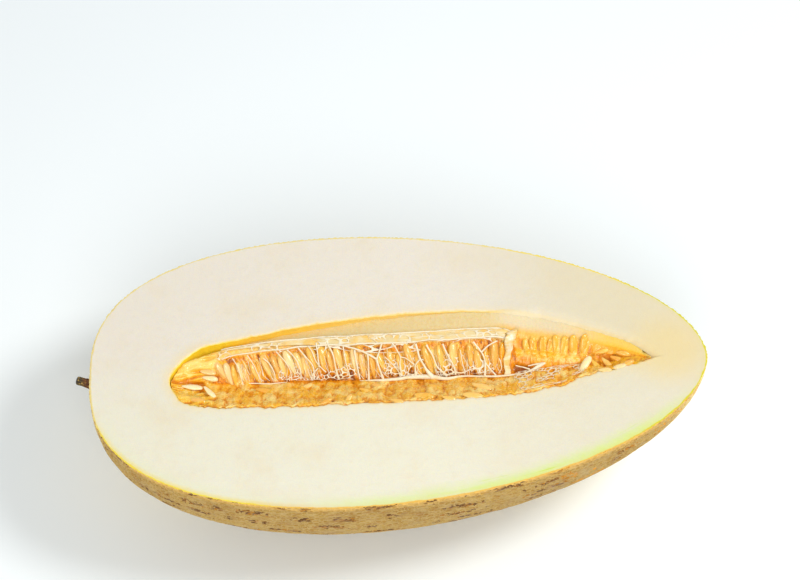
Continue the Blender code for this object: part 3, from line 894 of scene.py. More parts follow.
def rind_finish(looks):
    paint = Paint("netted rind")
    crest, cell = paint.attribute("crest"), paint.attribute("cell")
    x, y, z = paint.split(paint.place)
    height = paint.minus(z, CUT_FACE_Z)
    stretched = paint.joined(paint.product(x, 0.4), y, z)
    cloud = paint.noise(paint.place, 22 * MM, detail=3.0)
    grain = paint.noise(stretched, 1.0 * MM, detail=2.0, roughness=0.6)
    near_side_shade = paint.ramp(y, -10 * MM, -45 * MM)

    # Small cells, in which the skin varies and the marks lie
    pattern = {"Vector": stretched, "Scale": 1 / SMALL_CELL}
    crack = paint.add("ShaderNodeTexVoronoi", pattern, feature="DISTANCE_TO_EDGE")
    pick, other_pick, _ = paint.split(paint.add("ShaderNodeTexVoronoi", pattern, output="Color"))
    # Painted shade: the near side takes the darker, tanner copies of the skin, dull skin and cork
    plain = paint.mix(near_side_shade, looks.far_skin[:], looks.skin[:])
    shade = paint.mix(near_side_shade, looks.far_dull_skin[:], looks.shade[:])
    cork = paint.mix(near_side_shade, looks.far_cork[:], looks.cork[:])
    grain_and_shade = paint.ramp(near_side_shade, 0.0, 1.0, 0.3, 1.0)  # painted shade: the dark grain and streaks show more on the near side
    skin = paint.fade(plain, shade, cloud, 0.35, 0.7)
    skin = paint.fade(skin, shade, pick, 0.35, 0.95, 0.0, 0.5)
    skin = paint.fade(skin, cork, other_pick, 0.55, 1.0, 0.0, 0.4)
    skin = paint.fade(skin, cork, crack, 0.12, 0.03, 0.0, 0.5)
    skin = paint.mix(
        paint.product(paint.ramp(grain, 0.52, 0.72, 0.0, 0.5), grain_and_shade), skin, DARK_GRAIN_AND_SHADE,
    )
    streaks = paint.noise(paint.joined(paint.product(x, 0.25), y, z), 1.7 * MM, detail=3.0)
    skin = paint.fade(skin, cork, streaks, 0.52, 0.68, 0.0, 0.6)
    skin = paint.mix(
        paint.product(paint.ramp(streaks, 0.46, 0.32, 0.0, 0.6), grain_and_shade), skin, DARK_STREAK_AND_SHADE,
    )

    # The net's ridges, and a golden band just under the cut
    skin = paint.fade(skin, cork, crest, 0.3, 0.95, 0.0, 0.65)
    under_rim = paint.ramp(paint.plus(height, streaks, 2 * MM), -3.4 * MM, 1.2 * MM)
    skin = paint.mix(paint.product(under_rim, near_side_shade, 0.75), skin, UNDER_RIM)

    # Marks in lanes along the fruit, broken into dashes, and a few round patches
    bearing = paint.math("ARCTAN2", y, paint.product(height, -1.0))
    turns = paint.product(bearing, looks.lanes / (2 * math.pi))
    wander = paint.noise(paint.place, 55 * MM, detail=1.0)
    lane = paint.plus(turns, wander, 1.8)
    aside = paint.math("ABSOLUTE", paint.minus(paint.math("FRACT", lane), 0.5))
    lane_place = paint.joined(x, paint.product(paint.math("FLOOR", lane), 0.11), 0.0)
    dashes = paint.noise(lane_place, 22 * MM, detail=2.0)
    dash = paint.product(paint.ramp(aside, 0.16, 0.3, 1.0, 0.0), paint.ramp(dashes, 0.45, 0.56))
    patch = paint.ramp(paint.noise(paint.place, 26 * MM, detail=1.0), 0.68, 0.76)
    marked = paint.math("MAXIMUM", dash, patch)
    chosen = paint.product(
        paint.ramp(paint.minus(marked, other_pick), 0.25, 0.4), paint.ramp(crack, 0.0, 0.05),
    )
    # The marks turn brown on the near side, partly real browning and partly painted shade, and stay
    # golden toward the blossom end
    browning_and_shade = paint.plus(near_side_shade, paint.minus(cloud, 0.5), 2.0)
    browning_and_shade = paint.minus(browning_and_shade, paint.ramp(x, 40 * MM, 90 * MM, 0.0, 0.6))
    mark = paint.fade(looks.gold[:], looks.brown[:], browning_and_shade, 0.2, 0.7)
    mark = paint.fade(mark, looks.gold[:], pick, 0.5, 0.9, 0.0, 0.5)
    skin = paint.mix(paint.product(chosen, 0.88), skin, mark)
    whole = paint.product(paint.ramp(crest, 0.5, 0.12), paint.ramp(cell, 0.6, 0.9), dash)
    skin = paint.mix(paint.product(whole, 0.5), skin, mark)

    relief = paint.bump(crack, 0.1 * MM)
    relief = paint.bump(grain, 0.12 * MM, relief)
    return paint.finish({
        "Base Color": skin,
        "Roughness": paint.ramp(crest, 0.2, 0.8, 0.45, 0.66),
        "Normal": relief,
        "Specular IOR Level": 0.22,
    }, soft=(0.06, (1.0, 0.6, 0.3), 1.2 * MM))


def flesh_finish(looks):
    paint = Paint("flesh")
    rim_gap, edge_gap = paint.attribute("rim_gap"), paint.attribute("edge_gap")
    x, y, z = paint.split(paint.place)
    cloud = paint.noise(paint.place, 26 * MM, detail=3.0, roughness=0.6)
    mottle = paint.noise(paint.place, 5 * MM, detail=3.0, roughness=0.6)
    grain = paint.noise(paint.place, 0.8 * MM, detail=2.0, roughness=0.6)
    flesh = paint.fade(looks.flesh[:], looks.green_flesh[:], y, 25 * MM, -35 * MM)
    flesh = paint.fade(flesh, WARM_CLOUD, cloud, 0.45, 0.8, 0.0, 0.5)
    flesh = paint.fade(flesh, GREY_MOTTLE, mottle, 0.5, 0.8, 0.0, 0.35)

    # The warmer flesh at the blossom end and round the cavity's tip
    flesh = paint.fade(flesh, DIM_FLESH, x, 0.0, 120 * MM, 0.0, 0.6)
    warm = paint.product(paint.ramp(x, 30 * MM, 130 * MM, 0.0, 0.5), paint.ramp(y, -30 * MM, 10 * MM))
    flesh = paint.mix(warm, flesh, WARM_FLESH)
    toward_tip = paint.vector("DISTANCE", paint.place, placed(CAVITY_TIP)).node.outputs[1]
    flesh = paint.fade(flesh, TIP_FLESH, toward_tip, 30 * MM, 6 * MM, 0.0, 0.75)

    # Lime under the rind on the near side, in streaks that follow the rind
    near = paint.ramp(y, -15 * MM, -50 * MM)
    right = paint.ramp(x, -60 * MM, 20 * MM, 0.2, 1.0)
    depth = paint.plus(rim_gap, mottle, 6.0)
    glow = paint.product(near, right, paint.ramp(depth, 14.0, 3.5))
    streaked = paint.noise(
        paint.joined(paint.product(x, 0.1), paint.product(rim_gap, MM), 3.0), 5 * MM,
    )
    glow = paint.product(glow, paint.ramp(streaked, 0.35, 0.6, 0.45, 0.8))
    flesh = paint.mix(glow, flesh, looks.lime[:])
    streaks = paint.noise(
        paint.joined(paint.product(x, 0.06), paint.product(rim_gap, MM), 0.0),
        2.0 * MM,
    )
    streak = paint.product(near, paint.ramp(x, -20 * MM, 10 * MM), paint.ramp(rim_gap, 9.0, 4.0))
    flesh = paint.mix(
        paint.product(streak, paint.ramp(streaks, 0.62, 0.7), 0.7), flesh, LIME_STREAK,
    )

    # The cut edge of the rind
    near_rim = paint.fade(looks.yellow_rim[:], looks.gold_rim[:], x, -85 * MM, -45 * MM)
    far_rim = paint.fade(looks.pale_rim[:], looks.yellow_rim[:], x, 40 * MM, 100 * MM)
    rim = paint.fade(near_rim, far_rim, y, -20 * MM, 5 * MM)
    rim = paint.fade(rim, looks.lime_rim[:], x, 110 * MM, 138 * MM)
    rim = paint.fade(rim, STEM_END_RIM, x, -148 * MM, -154 * MM, 0.0, 0.7)
    near_end = paint.math("MAXIMUM", near, paint.ramp(x, 60 * MM, 120 * MM))
    ragged_gap = paint.plus(rim_gap, mottle, 1.6)
    left = paint.ramp(x, -30 * MM, -70 * MM, 0.1, 0.5)
    under_rind = paint.product(paint.ramp(ragged_gap, 5.0, 2.0), left, near_end)
    flesh = paint.mix(under_rind, flesh, rim)
    flesh = paint.fade(flesh, rim, ragged_gap, 2.3, 1.5)

    # The stain round the cavity
    reach = paint.plus(edge_gap, mottle, 3.0)
    flesh = paint.mix(
        paint.product(paint.ramp(reach, 9.0, 1.5), paint.ramp(x, -85 * MM, -108 * MM, 0.25, 0.5)),
        flesh, looks.halo[:],
    )
    flesh = paint.fade(flesh, looks.halo[:], reach, 3.4, 1.4, 0.0, 0.7)
    flesh = paint.fade(flesh, EDGE_STAIN, reach, 2.4, 1.3, 0.0, 0.6)

    # The cavity's wall, whose golden top grows thinner toward the blossom end
    amber_depth = paint.ramp(x, -80 * MM, -6 * MM, 10.0, 3.6)
    wavy = paint.plus(edge_gap, mottle, 2.4)
    amber_top = paint.ramp(paint.plus(wavy, amber_depth), -0.6, 2.6)
    wall_streaks = paint.noise(
        paint.joined(x, 0.0, paint.product(z, 0.12)), 2.4 * MM, detail=2.0,
    )
    lining = paint.fade(looks.lining[:], LINING_STREAK, wall_streaks, 0.4, 0.7, 0.0, 0.5)
    lining = paint.fade(lining, DEEP_LINING, edge_gap, -12.0, -18.0)
    golden_top = paint.fade(looks.amber[:], FAINT_AMBER, x, -60 * MM, 10 * MM)
    lining = paint.mix(amber_top, lining, golden_top)
    lining = paint.fade(lining, STEM_END_LINING, x, -72 * MM, -92 * MM, 0.0, 0.85)

    # Beyond the strap the far flesh slopes into the cavity, paler above and golden below
    slope = paint.product(paint.ramp(x, 50 * MM, 64 * MM), paint.ramp(y, -8 * MM, 2 * MM))
    golden_slope = paint.fade(SLOPE_TOP, SLOPE_FOOT, edge_gap, -2.0, -9.0)
    golden_tip = paint.fade(TIP_SLOPE_TOP, TIP_SLOPE_FOOT, edge_gap, 0.0, -4.0)
    golden_slope = paint.fade(golden_slope, golden_tip, x, 90 * MM, 112 * MM)
    lining = paint.mix(slope, lining, golden_slope)
    edge = paint.plus(edge_gap, slope, -2.5)
    surface = paint.fade(flesh, lining, edge, 0.9, -0.4)

    relief = paint.bump(grain, 0.10 * MM)
    relief = paint.bump(mottle, 0.25 * MM, relief)
    gloss = paint.plus(grain, mottle, 0.6)
    return paint.finish({
        "Base Color": surface,
        "Roughness": paint.ramp(gloss, 0.5, 1.1, 0.46, 0.32),
        "Normal": relief,
        "Specular IOR Level": 0.4,
    }, soft=(0.25, (1.0, 0.8, 0.45), 3 * MM))


# The seed pulp's top, and where the seeds lie on it


def torn_edge(x, side):
    """How far the cavity's edge strays there, more so the near one, whose side is -1."""
    torn = Vector((x, 40 * MM * side, 0))
    fine = (0.75 - 0.35 * side) * MM * noise.noise(torn / (2.2 * MM))
    return fine + (0.8 - 0.3 * side) * MM * noise.noise(torn / (8 * MM))


@functools.lru_cache(maxsize=8192)
def pulp_lines(x):
    """The crest points of the pulp's top at x, from the near edge to the far side.

    The last one lies against the far wall of the cavity, except at the stem end. It lies deep
    behind the block there, and rises toward the strap and beyond it up to the rounded edge.
    """
    shrink = min(1.0, (far_edge(x) - near_edge(x)) / PULP_FULL_WIDTH)
    near = near_edge(x) + torn_edge(x, -1) * shrink
    far = far_edge(x) + torn_edge(x, 1) * shrink
    reach = smooth_step(x, -104 * MM, -70 * MM)
    rise = smooth_step(x, -60 * MM, 68 * MM)
    at_ends = 1 - smooth_step(x, -112 * MM, -98 * MM) + smooth_step(x, 112 * MM, 122 * MM)
    inset = PULP_NEAR_INSET * shrink - PULP_END_OVERLAP * at_ends
    behind = back_y(x) + PULP_BACK_STEP * shrink
    against = far + 0.4 * edge_rounding(x, 1) * shrink
    under = back_z(x) - PULP_BACK_DROP
    top = -0.6 * edge_drop(x, 1)
    return (
        Vector((x, near + inset, PULP_NEAR_CREST)),
        Vector((x, ledge_y(x), ledge_z(x))),
        Vector((x, front_y(x), front_z(x))),
        Vector((x, back_y(x), back_z(x))),
        Vector((x, behind + (against - behind) * reach, under + (top - under) * rise)),
    )


def pulp_top(x, across):
    """A point of the pulp's top. Across is 0 at the near crest, 1 at the ledge, 2 and 3 at the
    block's crests and 4 at its last line.
    """
    lines = pulp_lines(x)
    i = min(int(across), 3)
    return lines[i].lerp(lines[i + 1], across - i)


def smooth_top(x, across):
    """The pulp's top with its bends rounded."""
    before, after = max(across - PULP_BEND, 0), min(across + PULP_BEND, 4)
    return (pulp_top(x, before) + pulp_top(x, across) * 2 + pulp_top(x, after)) / 4


def pulp_outward(x, across):
    step = 1 * MM
    along = smooth_top(x + step, across) - smooth_top(x - step, across)
    up_slope = smooth_top(x, min(across + 0.1, 4)) - smooth_top(x, max(across - 0.1, 0))
    return along.cross(up_slope).normalized()


def above_pulp(x, across, lift):
    return smooth_top(x, across) + pulp_outward(x, across) * lift


# Seeds of the standing row: the photograph's pixel of each middle, its lean in degrees to the left
# of upright, its size and how bare it is
ROW_SEEDS = (
    (222, 371, 38, 0.95, 0.35), (228.5, 374, 20, 1.0, 0.6), (235, 376, 12, 1.0, 0.1),
    (241, 372, 22, 0.9, 0.6), (246, 376, 16, 0.9, 0.2), (256.5, 373, 26, 1.1, 0.15),
    (268, 367, 26, 1.2, 0.25), (276.5, 366, 24, 1.0, 0.2), (283, 366, 18, 1.0, 0.3),
    (290, 362, 26, 1.1, 0.6), (299, 363, 22, 1.0, 0.3), (306, 366, 12, 1.0, 0.3),
    (313, 358, 22, 1.1, 0.15), (323, 359, 10, 1.1, 0.1), (331, 362, 14, 0.95, 0.2),
    (339, 359, 16, 1.1, 0.25), (347, 360, 14, 0.9, 0.1), (355, 360, 10, 1.05, 0.55),
    (363, 365, 8, 1.1, 0.2), (373, 364, 8, 1.05, 0.1), (382, 362, 24, 1.0, 0.1),
    (392, 362, 18, 1.05, 0.1), (401, 364, 14, 1.0, 0.1), (410, 356, 22, 1.15, 0.15),
    (419, 365, 8, 1.0, 0.1), (428.5, 359, 16, 1.25, 0.1), (441.5, 358, 12, 1.2, 0.15),
    (453.5, 356, 4, 1.15, 0.3), (462, 359, 8, 1.0, 0.1), (471, 356, 4, 1.1, 0.1),
    (478, 361, 6, 1.0, 0.15), (487, 361, 8, 1.0, 0.1), (495, 356, 2, 1.2, 0.15),
    (503, 354, 0, 1.05, 0.0),
)
# Seeds that lie as the photograph shows them: the pixels of both ends, pointed one first, how far
# they stand out of the pulp, how far they are rolled, and how bare they are
LYING_SEEDS = (
    ((181, 387), (203, 388.5), 1.3, 45, 1.0), ((202, 377), (218, 379.5), 1.2, 25, 0.8),
    ((199.5, 371), (216, 373.5), 0.9, 30, 0.4), ((204, 387), (215, 399.5), 1.4, 20, 0.9),
    ((190, 399), (206, 403), 0.5, 0, 0.2), ((580, 376), (590, 357), 2.0, 0, 0.85),
    ((612, 372), (626, 368), 0.9, 0, 0.7), ((442, 397), (456, 400), 0.8, 0, 0.2),
    ((462, 394), (483, 397), 1.1, 0, 0.25), ((414, 395), (434, 398), 0.7, 0, 0.1),
    ((391, 400), (403, 404), 0.8, 0, 0.2), ((472, 384), (492, 392), 1.1, 0, 0.3),
    ((321, 405), (330, 400), 1.0, 0, 0.1), ((346, 405), (350, 396), 0.8, 0, 0.2),
    ((592, 360), (600, 371), 1.0, 10, 0.1), ((602, 358), (611, 369), 1.2, 0, 0.2),
    ((599, 372), (611, 373), 0.9, 0, 0.5), ((611, 357), (623, 361), 1.0, 0, 0.1),
    ((620, 367), (634, 361), 1.0, 0, 0.15), ((616, 352), (630, 355), 0.8, 0, 0.1),
    ((596, 353), (607, 350), 0.8, 0, 0.1), ((255, 389), (275, 393), 0.5, 20, 0.1),
    ((300, 390), (312, 384), 0.4, 0, 0.3), ((360, 389), (372, 394), 0.5, -20, 0.1),
    ((372, 384), (384, 389), 0.5, 0, 0.2), ((425, 385), (441, 388), 0.4, 20, 0.1),
)
# Upright seeds beyond the strap: pixel of the middle, lean, size
TIP_SEEDS = (
    (526, 347, 14, 0.7), (533, 347, 8, 0.85), (542.5, 347, 0, 0.9), (549.5, 348, -6, 0.8),
    (556, 346, 2, 0.95), (563.5, 347, -6, 0.95), (573, 346, 0, 0.95), (584, 345.5, -4, 1.0),
)
HALF_SEED_PIXELS = 11
SHEATH_LENGTH, SHEATH_WIDTH = 0.58, 0.53  # half a seed's wet sheath, in lengths and widths of it
# Marks of the pulp: the pixels of both ends, half width and lift in mm, and how much painted shade it
# gets there as a hollow
PULP_MARKS = (
    ((172, 381), (203, 384), 1.5, -1.7, 1.0),
    ((516, 368), (527, 368), 2.6, -2.4, 1.0),
    ((186, 366), (214, 364), 4.4, 1.2, 0.1),
    ((518, 352.5), (576, 359), 1.7, 1.7, 0.05),
    ((180, 397), (203, 400), 3.0, 1.0, 0.2),
)

# The foot is the pulp's point under a seed, and the roll is in degrees
Seed = namedtuple("Seed", "foot middle forward outward roll size bare tone")


def seed_axes(forward, outward, roll):
    """The seed's turn, as a matrix from its own axes: length, width and thickness."""
    seat = Matrix((forward, outward.cross(forward), outward)).transposed()
    return seat @ Matrix.Rotation(math.radians(roll), 3, "X")


def seed_layout():
    """Every seed, placed so that the camera sees it where the photograph shows it."""
    draw = random.Random(5)
    seeds = []

    _, right, up, back = camera_pose(bpy.context.scene.melon_stage)

    def put(x, across, toward, roll, stand, size, bare, facing=0.0):
        outward = (pulp_outward(x, across) * (1 - facing) + back * facing).normalized()
        forward = (toward - outward * toward.dot(outward)).normalized()
        foot = smooth_top(x, across)
        middle = foot + outward * stand * SEED_THICKNESS / 2
        rise = seed_axes(forward, outward, roll)[2]
        reach = Vector((rise.x * SEED_LENGTH, rise.y * SEED_WIDTH, rise.z * SEED_THICKNESS)).length
        middle.z = min(middle.z, SEED_CEILING - size * reach / 2)
        seeds.append(Seed(foot, middle, forward, outward, roll, size, bare, draw.random()))

    def upright(pixel_x, pixel_y, lean, size, bare, stand, roll):
        up = math.radians(lean)
        reach = HALF_SEED_PIXELS * size
        head = (pixel_x - math.sin(up) * reach, pixel_y - math.cos(up) * reach)
        foot = (pixel_x + math.sin(up) * reach, pixel_y + math.cos(up) * reach)
        x, across = under_pixel((pixel_x, pixel_y))
        toward = smooth_top(*under_pixel(foot)) - smooth_top(*under_pixel(head))
        put(x, across, toward, roll, stand, size, bare)

    for pixel_x, pixel_y, lean, size, bare in ROW_SEEDS:
        upright(pixel_x, pixel_y, lean, size, bare, draw.uniform(0.4, 0.9), draw.uniform(-52, -16))
        behind = pixel_x + draw.uniform(3.6, 5.0), pixel_y + draw.uniform(-4, 5)
        upright(*behind, lean + draw.uniform(-6, 6), size * 0.8, 0.1, -0.4, draw.uniform(-80, -50))
    for pixel_x, pixel_y, lean, size in TIP_SEEDS:
        upright(pixel_x, pixel_y, lean, size, 0.05, -0.2, draw.uniform(-40, -15))
    for tip, tail, stand, roll, bare in LYING_SEEDS:
        x, across = under_pixel(((tip[0] + tail[0]) / 2, (tip[1] + tail[1]) / 2))
        toward = right * (tip[0] - tail[0]) - up * (tip[1] - tail[1])
        size = min(max(toward.length * PIXEL / SEED_LENGTH, 0.6), 1.15)
        put(x, across, toward, roll, stand, size, bare, facing=0.6)
    return seeds


class Surroundings:
    """The seeds and marks near each place of the pulp."""

    REACH = 9 * MM

    def __init__(self):
        self.seeds = {}
        self.marks = []
        for seed in seed_layout():
            first = int((seed.foot.x - self.REACH) // self.REACH)
            for cell in range(first, first + 3):
                self.seeds.setdefault(cell, []).append(seed)
        for start, end, half_width, lift, hollow_shade in PULP_MARKS:
            ends = smooth_top(*under_pixel(start)), smooth_top(*under_pixel(end))
            self.marks.append((*ends, half_width * MM, lift * MM, hollow_shade))

    def sheath(self, place):
        """How deep a place lies in the seeds' wet sheaths: 1 under a seed's middle, 0 outside."""
        deepest = 0.0
        for seed in self.seeds.get(int(place.x // self.REACH), ()):
            offset = place - seed.foot
            lengthwise = offset.dot(seed.forward)
            sideways = (offset - seed.forward * lengthwise).length
            half_length = SHEATH_LENGTH * SEED_LENGTH * seed.size
            half_width = SHEATH_WIDTH * SEED_WIDTH * seed.size
            reach = (lengthwise / half_length) ** 2 + (sideways / half_width) ** 2
            deepest = max(deepest, 1 - reach)
        return math.sqrt(deepest)

    def marked(self, place, lift, hollow_shade):
        for start, end, half_width, raised, depth in self.marks:
            way = end - start
            share = min(max((place - start).dot(way) / way.length_squared, 0), 1)
            distance = (place - start - way * share).length / half_width
            if distance < 2.5:
                weight = math.exp(-distance * distance)
                lift += raised * weight
                hollow_shade += (depth - hollow_shade) * weight
        return lift, hollow_shade


def slope_groove(place):
    """How near a place of the slope is to a groove between two leaves of pulp, from 0 to 1."""
    lean = 0.6 - 0.5 * smooth_step(place.x, -60 * MM, 20 * MM)
    across = place.x + lean * (place.y - ledge_y(place.x))
    leaf = noise.noise(Vector((across / (1.9 * MM), place.y / (9 * MM), 7)))
    return 1 - smooth_step(abs(leaf), 0.0, 0.2)


def pulp_relief(place, across, around, looks):
    """How far the pulp stands above its smooth top, and how much painted shade it gets there as a
    hollow, from 0 to 1.
    """
    x = place.x
    squeezed = Vector((x, place.y * 0.5, place.z * 0.5))  # so that lumps look round to the camera
    swell, lump, bead = (noise.noise(squeezed / size) for size in PULP_LUMPS)
    sheath = around.sheath(place)
    lumps = 0.7 * swell + 0.65 * lump + 0.35 * bead

    # The wet band along the near edge
    band_lift = looks.lumps * lumps + 0.6 * MM * sheath
    # Painted shade: the hollow shade is deeper where the pulp sinks between its lumps, and less on
    # the seeds' sheaths
    band_shade = (0.36 - 0.3 * swell - 0.55 * lump - 0.5 * bead) * (1 - 0.7 * sheath)

    # The slope in which the seeds of the row stand, with leaves of pulp between them
    groove = slope_groove(place)
    foot = 1 - smooth_step(across, 1.0, 1.3)
    slope_lift = looks.recess * (0.95 * sheath - 0.6) + 0.35 * MM * (1 - groove) + 0.25 * MM * lump
    slope_shade = 0.6 + 0.4 * groove + 0.25 * foot + 0.3 * lump + 0.3 * bead - 0.7 * sheath

    # The block's top
    top_lift = 0.35 * MM * lumps
    top_shade = 0.2 - 0.2 * lumps

    # The folds at the stem end
    fold_place = Vector((x / (9 * MM), (place.y - 0.3 * x) / (1.9 * MM), 3.3))
    fold = 1 - 2.4 * abs(noise.noise(fold_place))
    end_lift = 0.9 * MM * (fold - 0.5) + 0.45 * MM * lump + 0.25 * MM * bead
    end_shade = 0.75 - 0.75 * fold + 0.3 * lump + 0.35 * bead

    # How much of each there is here
    on_slope = smooth_step(across, 0.94, 1.1) * (1 - smooth_step(across, 1.88, 2.04))
    on_top = smooth_step(across, 1.88, 2.04)
    at_stem_end = 1 - smooth_step(x, -99 * MM, -91 * MM)
    at_tip = smooth_step(x, 58 * MM, 66 * MM)
    on_slope *= 1 - 0.5 * at_tip
    on_band = 1 - on_slope - on_top
    lift = band_lift * on_band + slope_lift * on_slope + top_lift * on_top
    hollow_shade = band_shade * on_band + slope_shade * on_slope + top_shade * on_top
    between_tip_seeds = at_tip * on_top * (1 - smooth_step(x, 98 * MM, 104 * MM))
    lift += (0.9 * MM * sheath - 0.5 * MM) * between_tip_seeds
    between_tip_seeds *= 1 - smooth_step(across, 2.5, 2.9)
    hollow_shade += (0.75 - sheath - hollow_shade) * between_tip_seeds
    on_back = smooth_step(across, 2.9, 3.3)
    lift *= 1 - 0.7 * on_back
    hollow_shade += (0.1 - hollow_shade) * on_back
    lift += (end_lift - lift) * at_stem_end
    hollow_shade += (end_shade - hollow_shade) * at_stem_end
    lift, hollow_shade = around.marked(place, lift, hollow_shade)
    calm = min((x - PULP_START) / (5 * MM), (PULP_END - x) / (10 * MM), 1)
    edge_calm = smooth_step(across, 0, 0.12)
    return lift * calm * (0.35 + 0.65 * edge_calm), min(max(hollow_shade, 0), 1)


PULP_COLUMNS = 640
PULP_ROWS = 80
PULP_SPAN = 4  # how far across its top runs
PULP_DEPTH_SHADE = 0.9  # how much painted shade its hidden underside gets as a hollow
PULP_UNDERSIDE = (27, 50, 75, 100, 125, 145, 160, 172)  # angles of its underside's points


def seed_bed(looks, finish):
    """The wet pulp that holds the seeds, as one closed loft."""
    bm = bmesh.new()
    across_layer = bm.verts.layers.float.new("across")
    hollow_shade_layer = bm.verts.layers.float.new("hollow_shade")
    around = Surroundings()
    step = (PULP_END - PULP_START) / PULP_COLUMNS
    grid = [
        [smooth_top(PULP_START + step * i, PULP_SPAN * j / PULP_ROWS) for j in range(PULP_ROWS + 1)]
        for i in range(PULP_COLUMNS + 1)
    ]
    rings = []
    for i, column in enumerate(grid):
        before, after = grid[max(i - 1, 0)], grid[min(i + 1, PULP_COLUMNS)]
        x = column[0].x
        ring = []
        for j, place in enumerate(column):
            up_slope = column[min(j + 1, PULP_ROWS)] - column[max(j - 1, 0)]
            outward = (after[j] - before[j]).cross(up_slope).normalized()
            across = PULP_SPAN * j / PULP_ROWS
            lift, hollow_shade = pulp_relief(place, across, around, looks)
            spot = place + outward * lift
            spot.z = min(spot.z, PULP_CEILING)
            made = bm.verts.new(placed(spot))
            made[across_layer] = across
            made[hollow_shade_layer] = hollow_shade
            ring.append(made)
        middle = Vector((x, (far_edge(x) + near_edge(x)) / 2, 0))
        for angle in PULP_UNDERSIDE:
            wall = cavity_wall(x, angle)
            inset = min(PULP_CLEARANCE / max((wall - middle).length, 1e-6), 0.5)
            made = bm.verts.new(placed(wall.lerp(middle, inset)))
            made[across_layer] = PULP_SPAN
            made[hollow_shade_layer] = PULP_DEPTH_SHADE
            ring.append(made)
        rings.append(ring)
    close_loft(bm, rings)
    face_out(bm)
    bed = object_from("seed_bed", bm, finish)
    hand_over(bed, "seed_pulp", "seed_pulp")
    return bed


def pulp_finish(looks):
    paint = Paint("wet pulp")
    across, hollow_shade = paint.attribute("across"), paint.attribute("hollow_shade")
    x = paint.split(paint.place)[0]
    cloud = paint.noise(paint.place, 9 * MM, detail=2.0)
    fleck = paint.noise(paint.place, 1.5 * MM, detail=2.0, roughness=0.6)
    pulp = paint.fade(looks.gold[:], looks.pale[:], cloud, 0.4, 0.7)
    pulp = paint.fade(pulp, looks.pale[:], fleck, 0.52, 0.72, 0.0, 0.75)
    pulp = paint.fade(pulp, looks.deep[:], fleck, 0.45, 0.3, 0.0, 0.5)
    # Painted shade: the pulp turns deep and then dark gold in its hollows
    pulp = paint.fade(pulp, looks.deep[:], hollow_shade, 0.3, 0.72)
    pulp = paint.fade(pulp, looks.dark[:], hollow_shade, 0.72, 1.0)

    # The block's top, and beyond the strap its back
    top = paint.ramp(across, 1.95, 2.1)
    pale_top = paint.fade(PALE_TOP, GOLD_TOP, fleck, 0.4, 0.7)
    row_top = paint.product(top, paint.ramp(x, 62 * MM, 56 * MM), 0.9)
    pulp = paint.mix(row_top, pulp, pale_top)
    back = paint.product(paint.ramp(across, 2.6, 2.95), paint.ramp(x, 60 * MM, 68 * MM), 0.6)
    pulp = paint.mix(back, pulp, TIP_BACK)
    # Painted shade: the tip's pulp turns brown-orange in its hollows
    tip_pulp = paint.fade(TIP_GOLD, TIP_HOLLOW_SHADE, hollow_shade, 0.2, 0.75)
    pulp = paint.fade(pulp, tip_pulp, x, 92 * MM, 118 * MM, 0.0, 0.9)

    # Where it thins out against the far wall, and beyond the strap against the sloping flesh
    against_flesh = paint.fade(THIN_GOLD, THIN_PALE, across, 3.0, 3.5)
    against_flesh = paint.fade(against_flesh, THIN_TIP, x, 84 * MM, 118 * MM, 0.0, 0.8)
    wall = paint.fade(WALL_PALE, WALL_GOLD, fleck, 0.4, 0.7, 0.0, 0.6)
    against_flesh = paint.fade(wall, against_flesh, x, 48 * MM, 64 * MM)
    thin = paint.product(paint.ramp(across, 2.9, 3.2), paint.ramp(x, -86 * MM, -66 * MM))
    pulp = paint.mix(thin, pulp, against_flesh)

    # The folds at the stem end, pale on their ridges and deep gold in their creases: painted light
    # and shade
    stem_end = paint.ramp(x, -86 * MM, -96 * MM)
    end_gold = paint.fade(FOLD_RIDGE_LIGHT, FOLD_GOLD, hollow_shade, 0.05, 0.35)
    end_gold = paint.fade(end_gold, FOLD_CREASE_SHADE, hollow_shade, 0.35, 0.9)
    pulp = paint.mix(paint.product(stem_end, 0.85), pulp, end_gold)
    return paint.finish({
        "Base Color": pulp,
        "Roughness": paint.ramp(fleck, 0.3, 0.7, 0.22, 0.42),
        "Normal": paint.bump(fleck, 0.25 * MM),
        "Specular IOR Level": 0.3,
    }, wet=(0.25, 0.12), soft=(0.3, (1.0, 0.6, 0.2), 2 * MM))


# The seeds


def seed_tree(finish):
    """Puts a flat pointed oval on each point, turned, sized and coloured as the point says."""
    tree, nodes, given, end = new_tree("seeds", {
        "Length": SEED_LENGTH, "Width": SEED_WIDTH, "Thickness": SEED_THICKNESS, "Finish": finish,
    })
    globe = nodes.add("GeometryNodeMeshUVSphere", {"Segments": 12, "Rings": 9, "Radius": 0.5})
    x, y, z = nodes.split(nodes.add("GeometryNodeInputPosition"))
    narrow = nodes.ramp(z, 0.5, -0.1, 0.6, 1.0)
    toward_end = nodes.minus(1.0, nodes.product(z, z, 4.0))
    fullness = nodes.math("POWER", nodes.math("MAXIMUM", toward_end, 0.05), -0.16)
    shaped = nodes.add("GeometryNodeSetPosition", {
        "Geometry": globe,
        "Position": nodes.joined(
            nodes.product(z, given["Length"]),
            nodes.product(x, narrow, fullness, given["Width"]),
            nodes.product(y, narrow, given["Thickness"]),
        ),
    })
    turn = nodes.add("FunctionNodeEulerToRotation", {"Euler": nodes.named("turn", "FLOAT_VECTOR")})
    kernels = nodes.add("GeometryNodeInstanceOnPoints", {
        "Points": given["Geometry"], "Instance": shaped, "Rotation": turn,
        "Scale": nodes.named("size"),
    })
    kernels = nodes.add("GeometryNodeRealizeInstances", {"Geometry": kernels})
    finish_tree(nodes, given, nodes.swayed(kernels, 4 * MM, 0.8 * MM), end)
    return tree


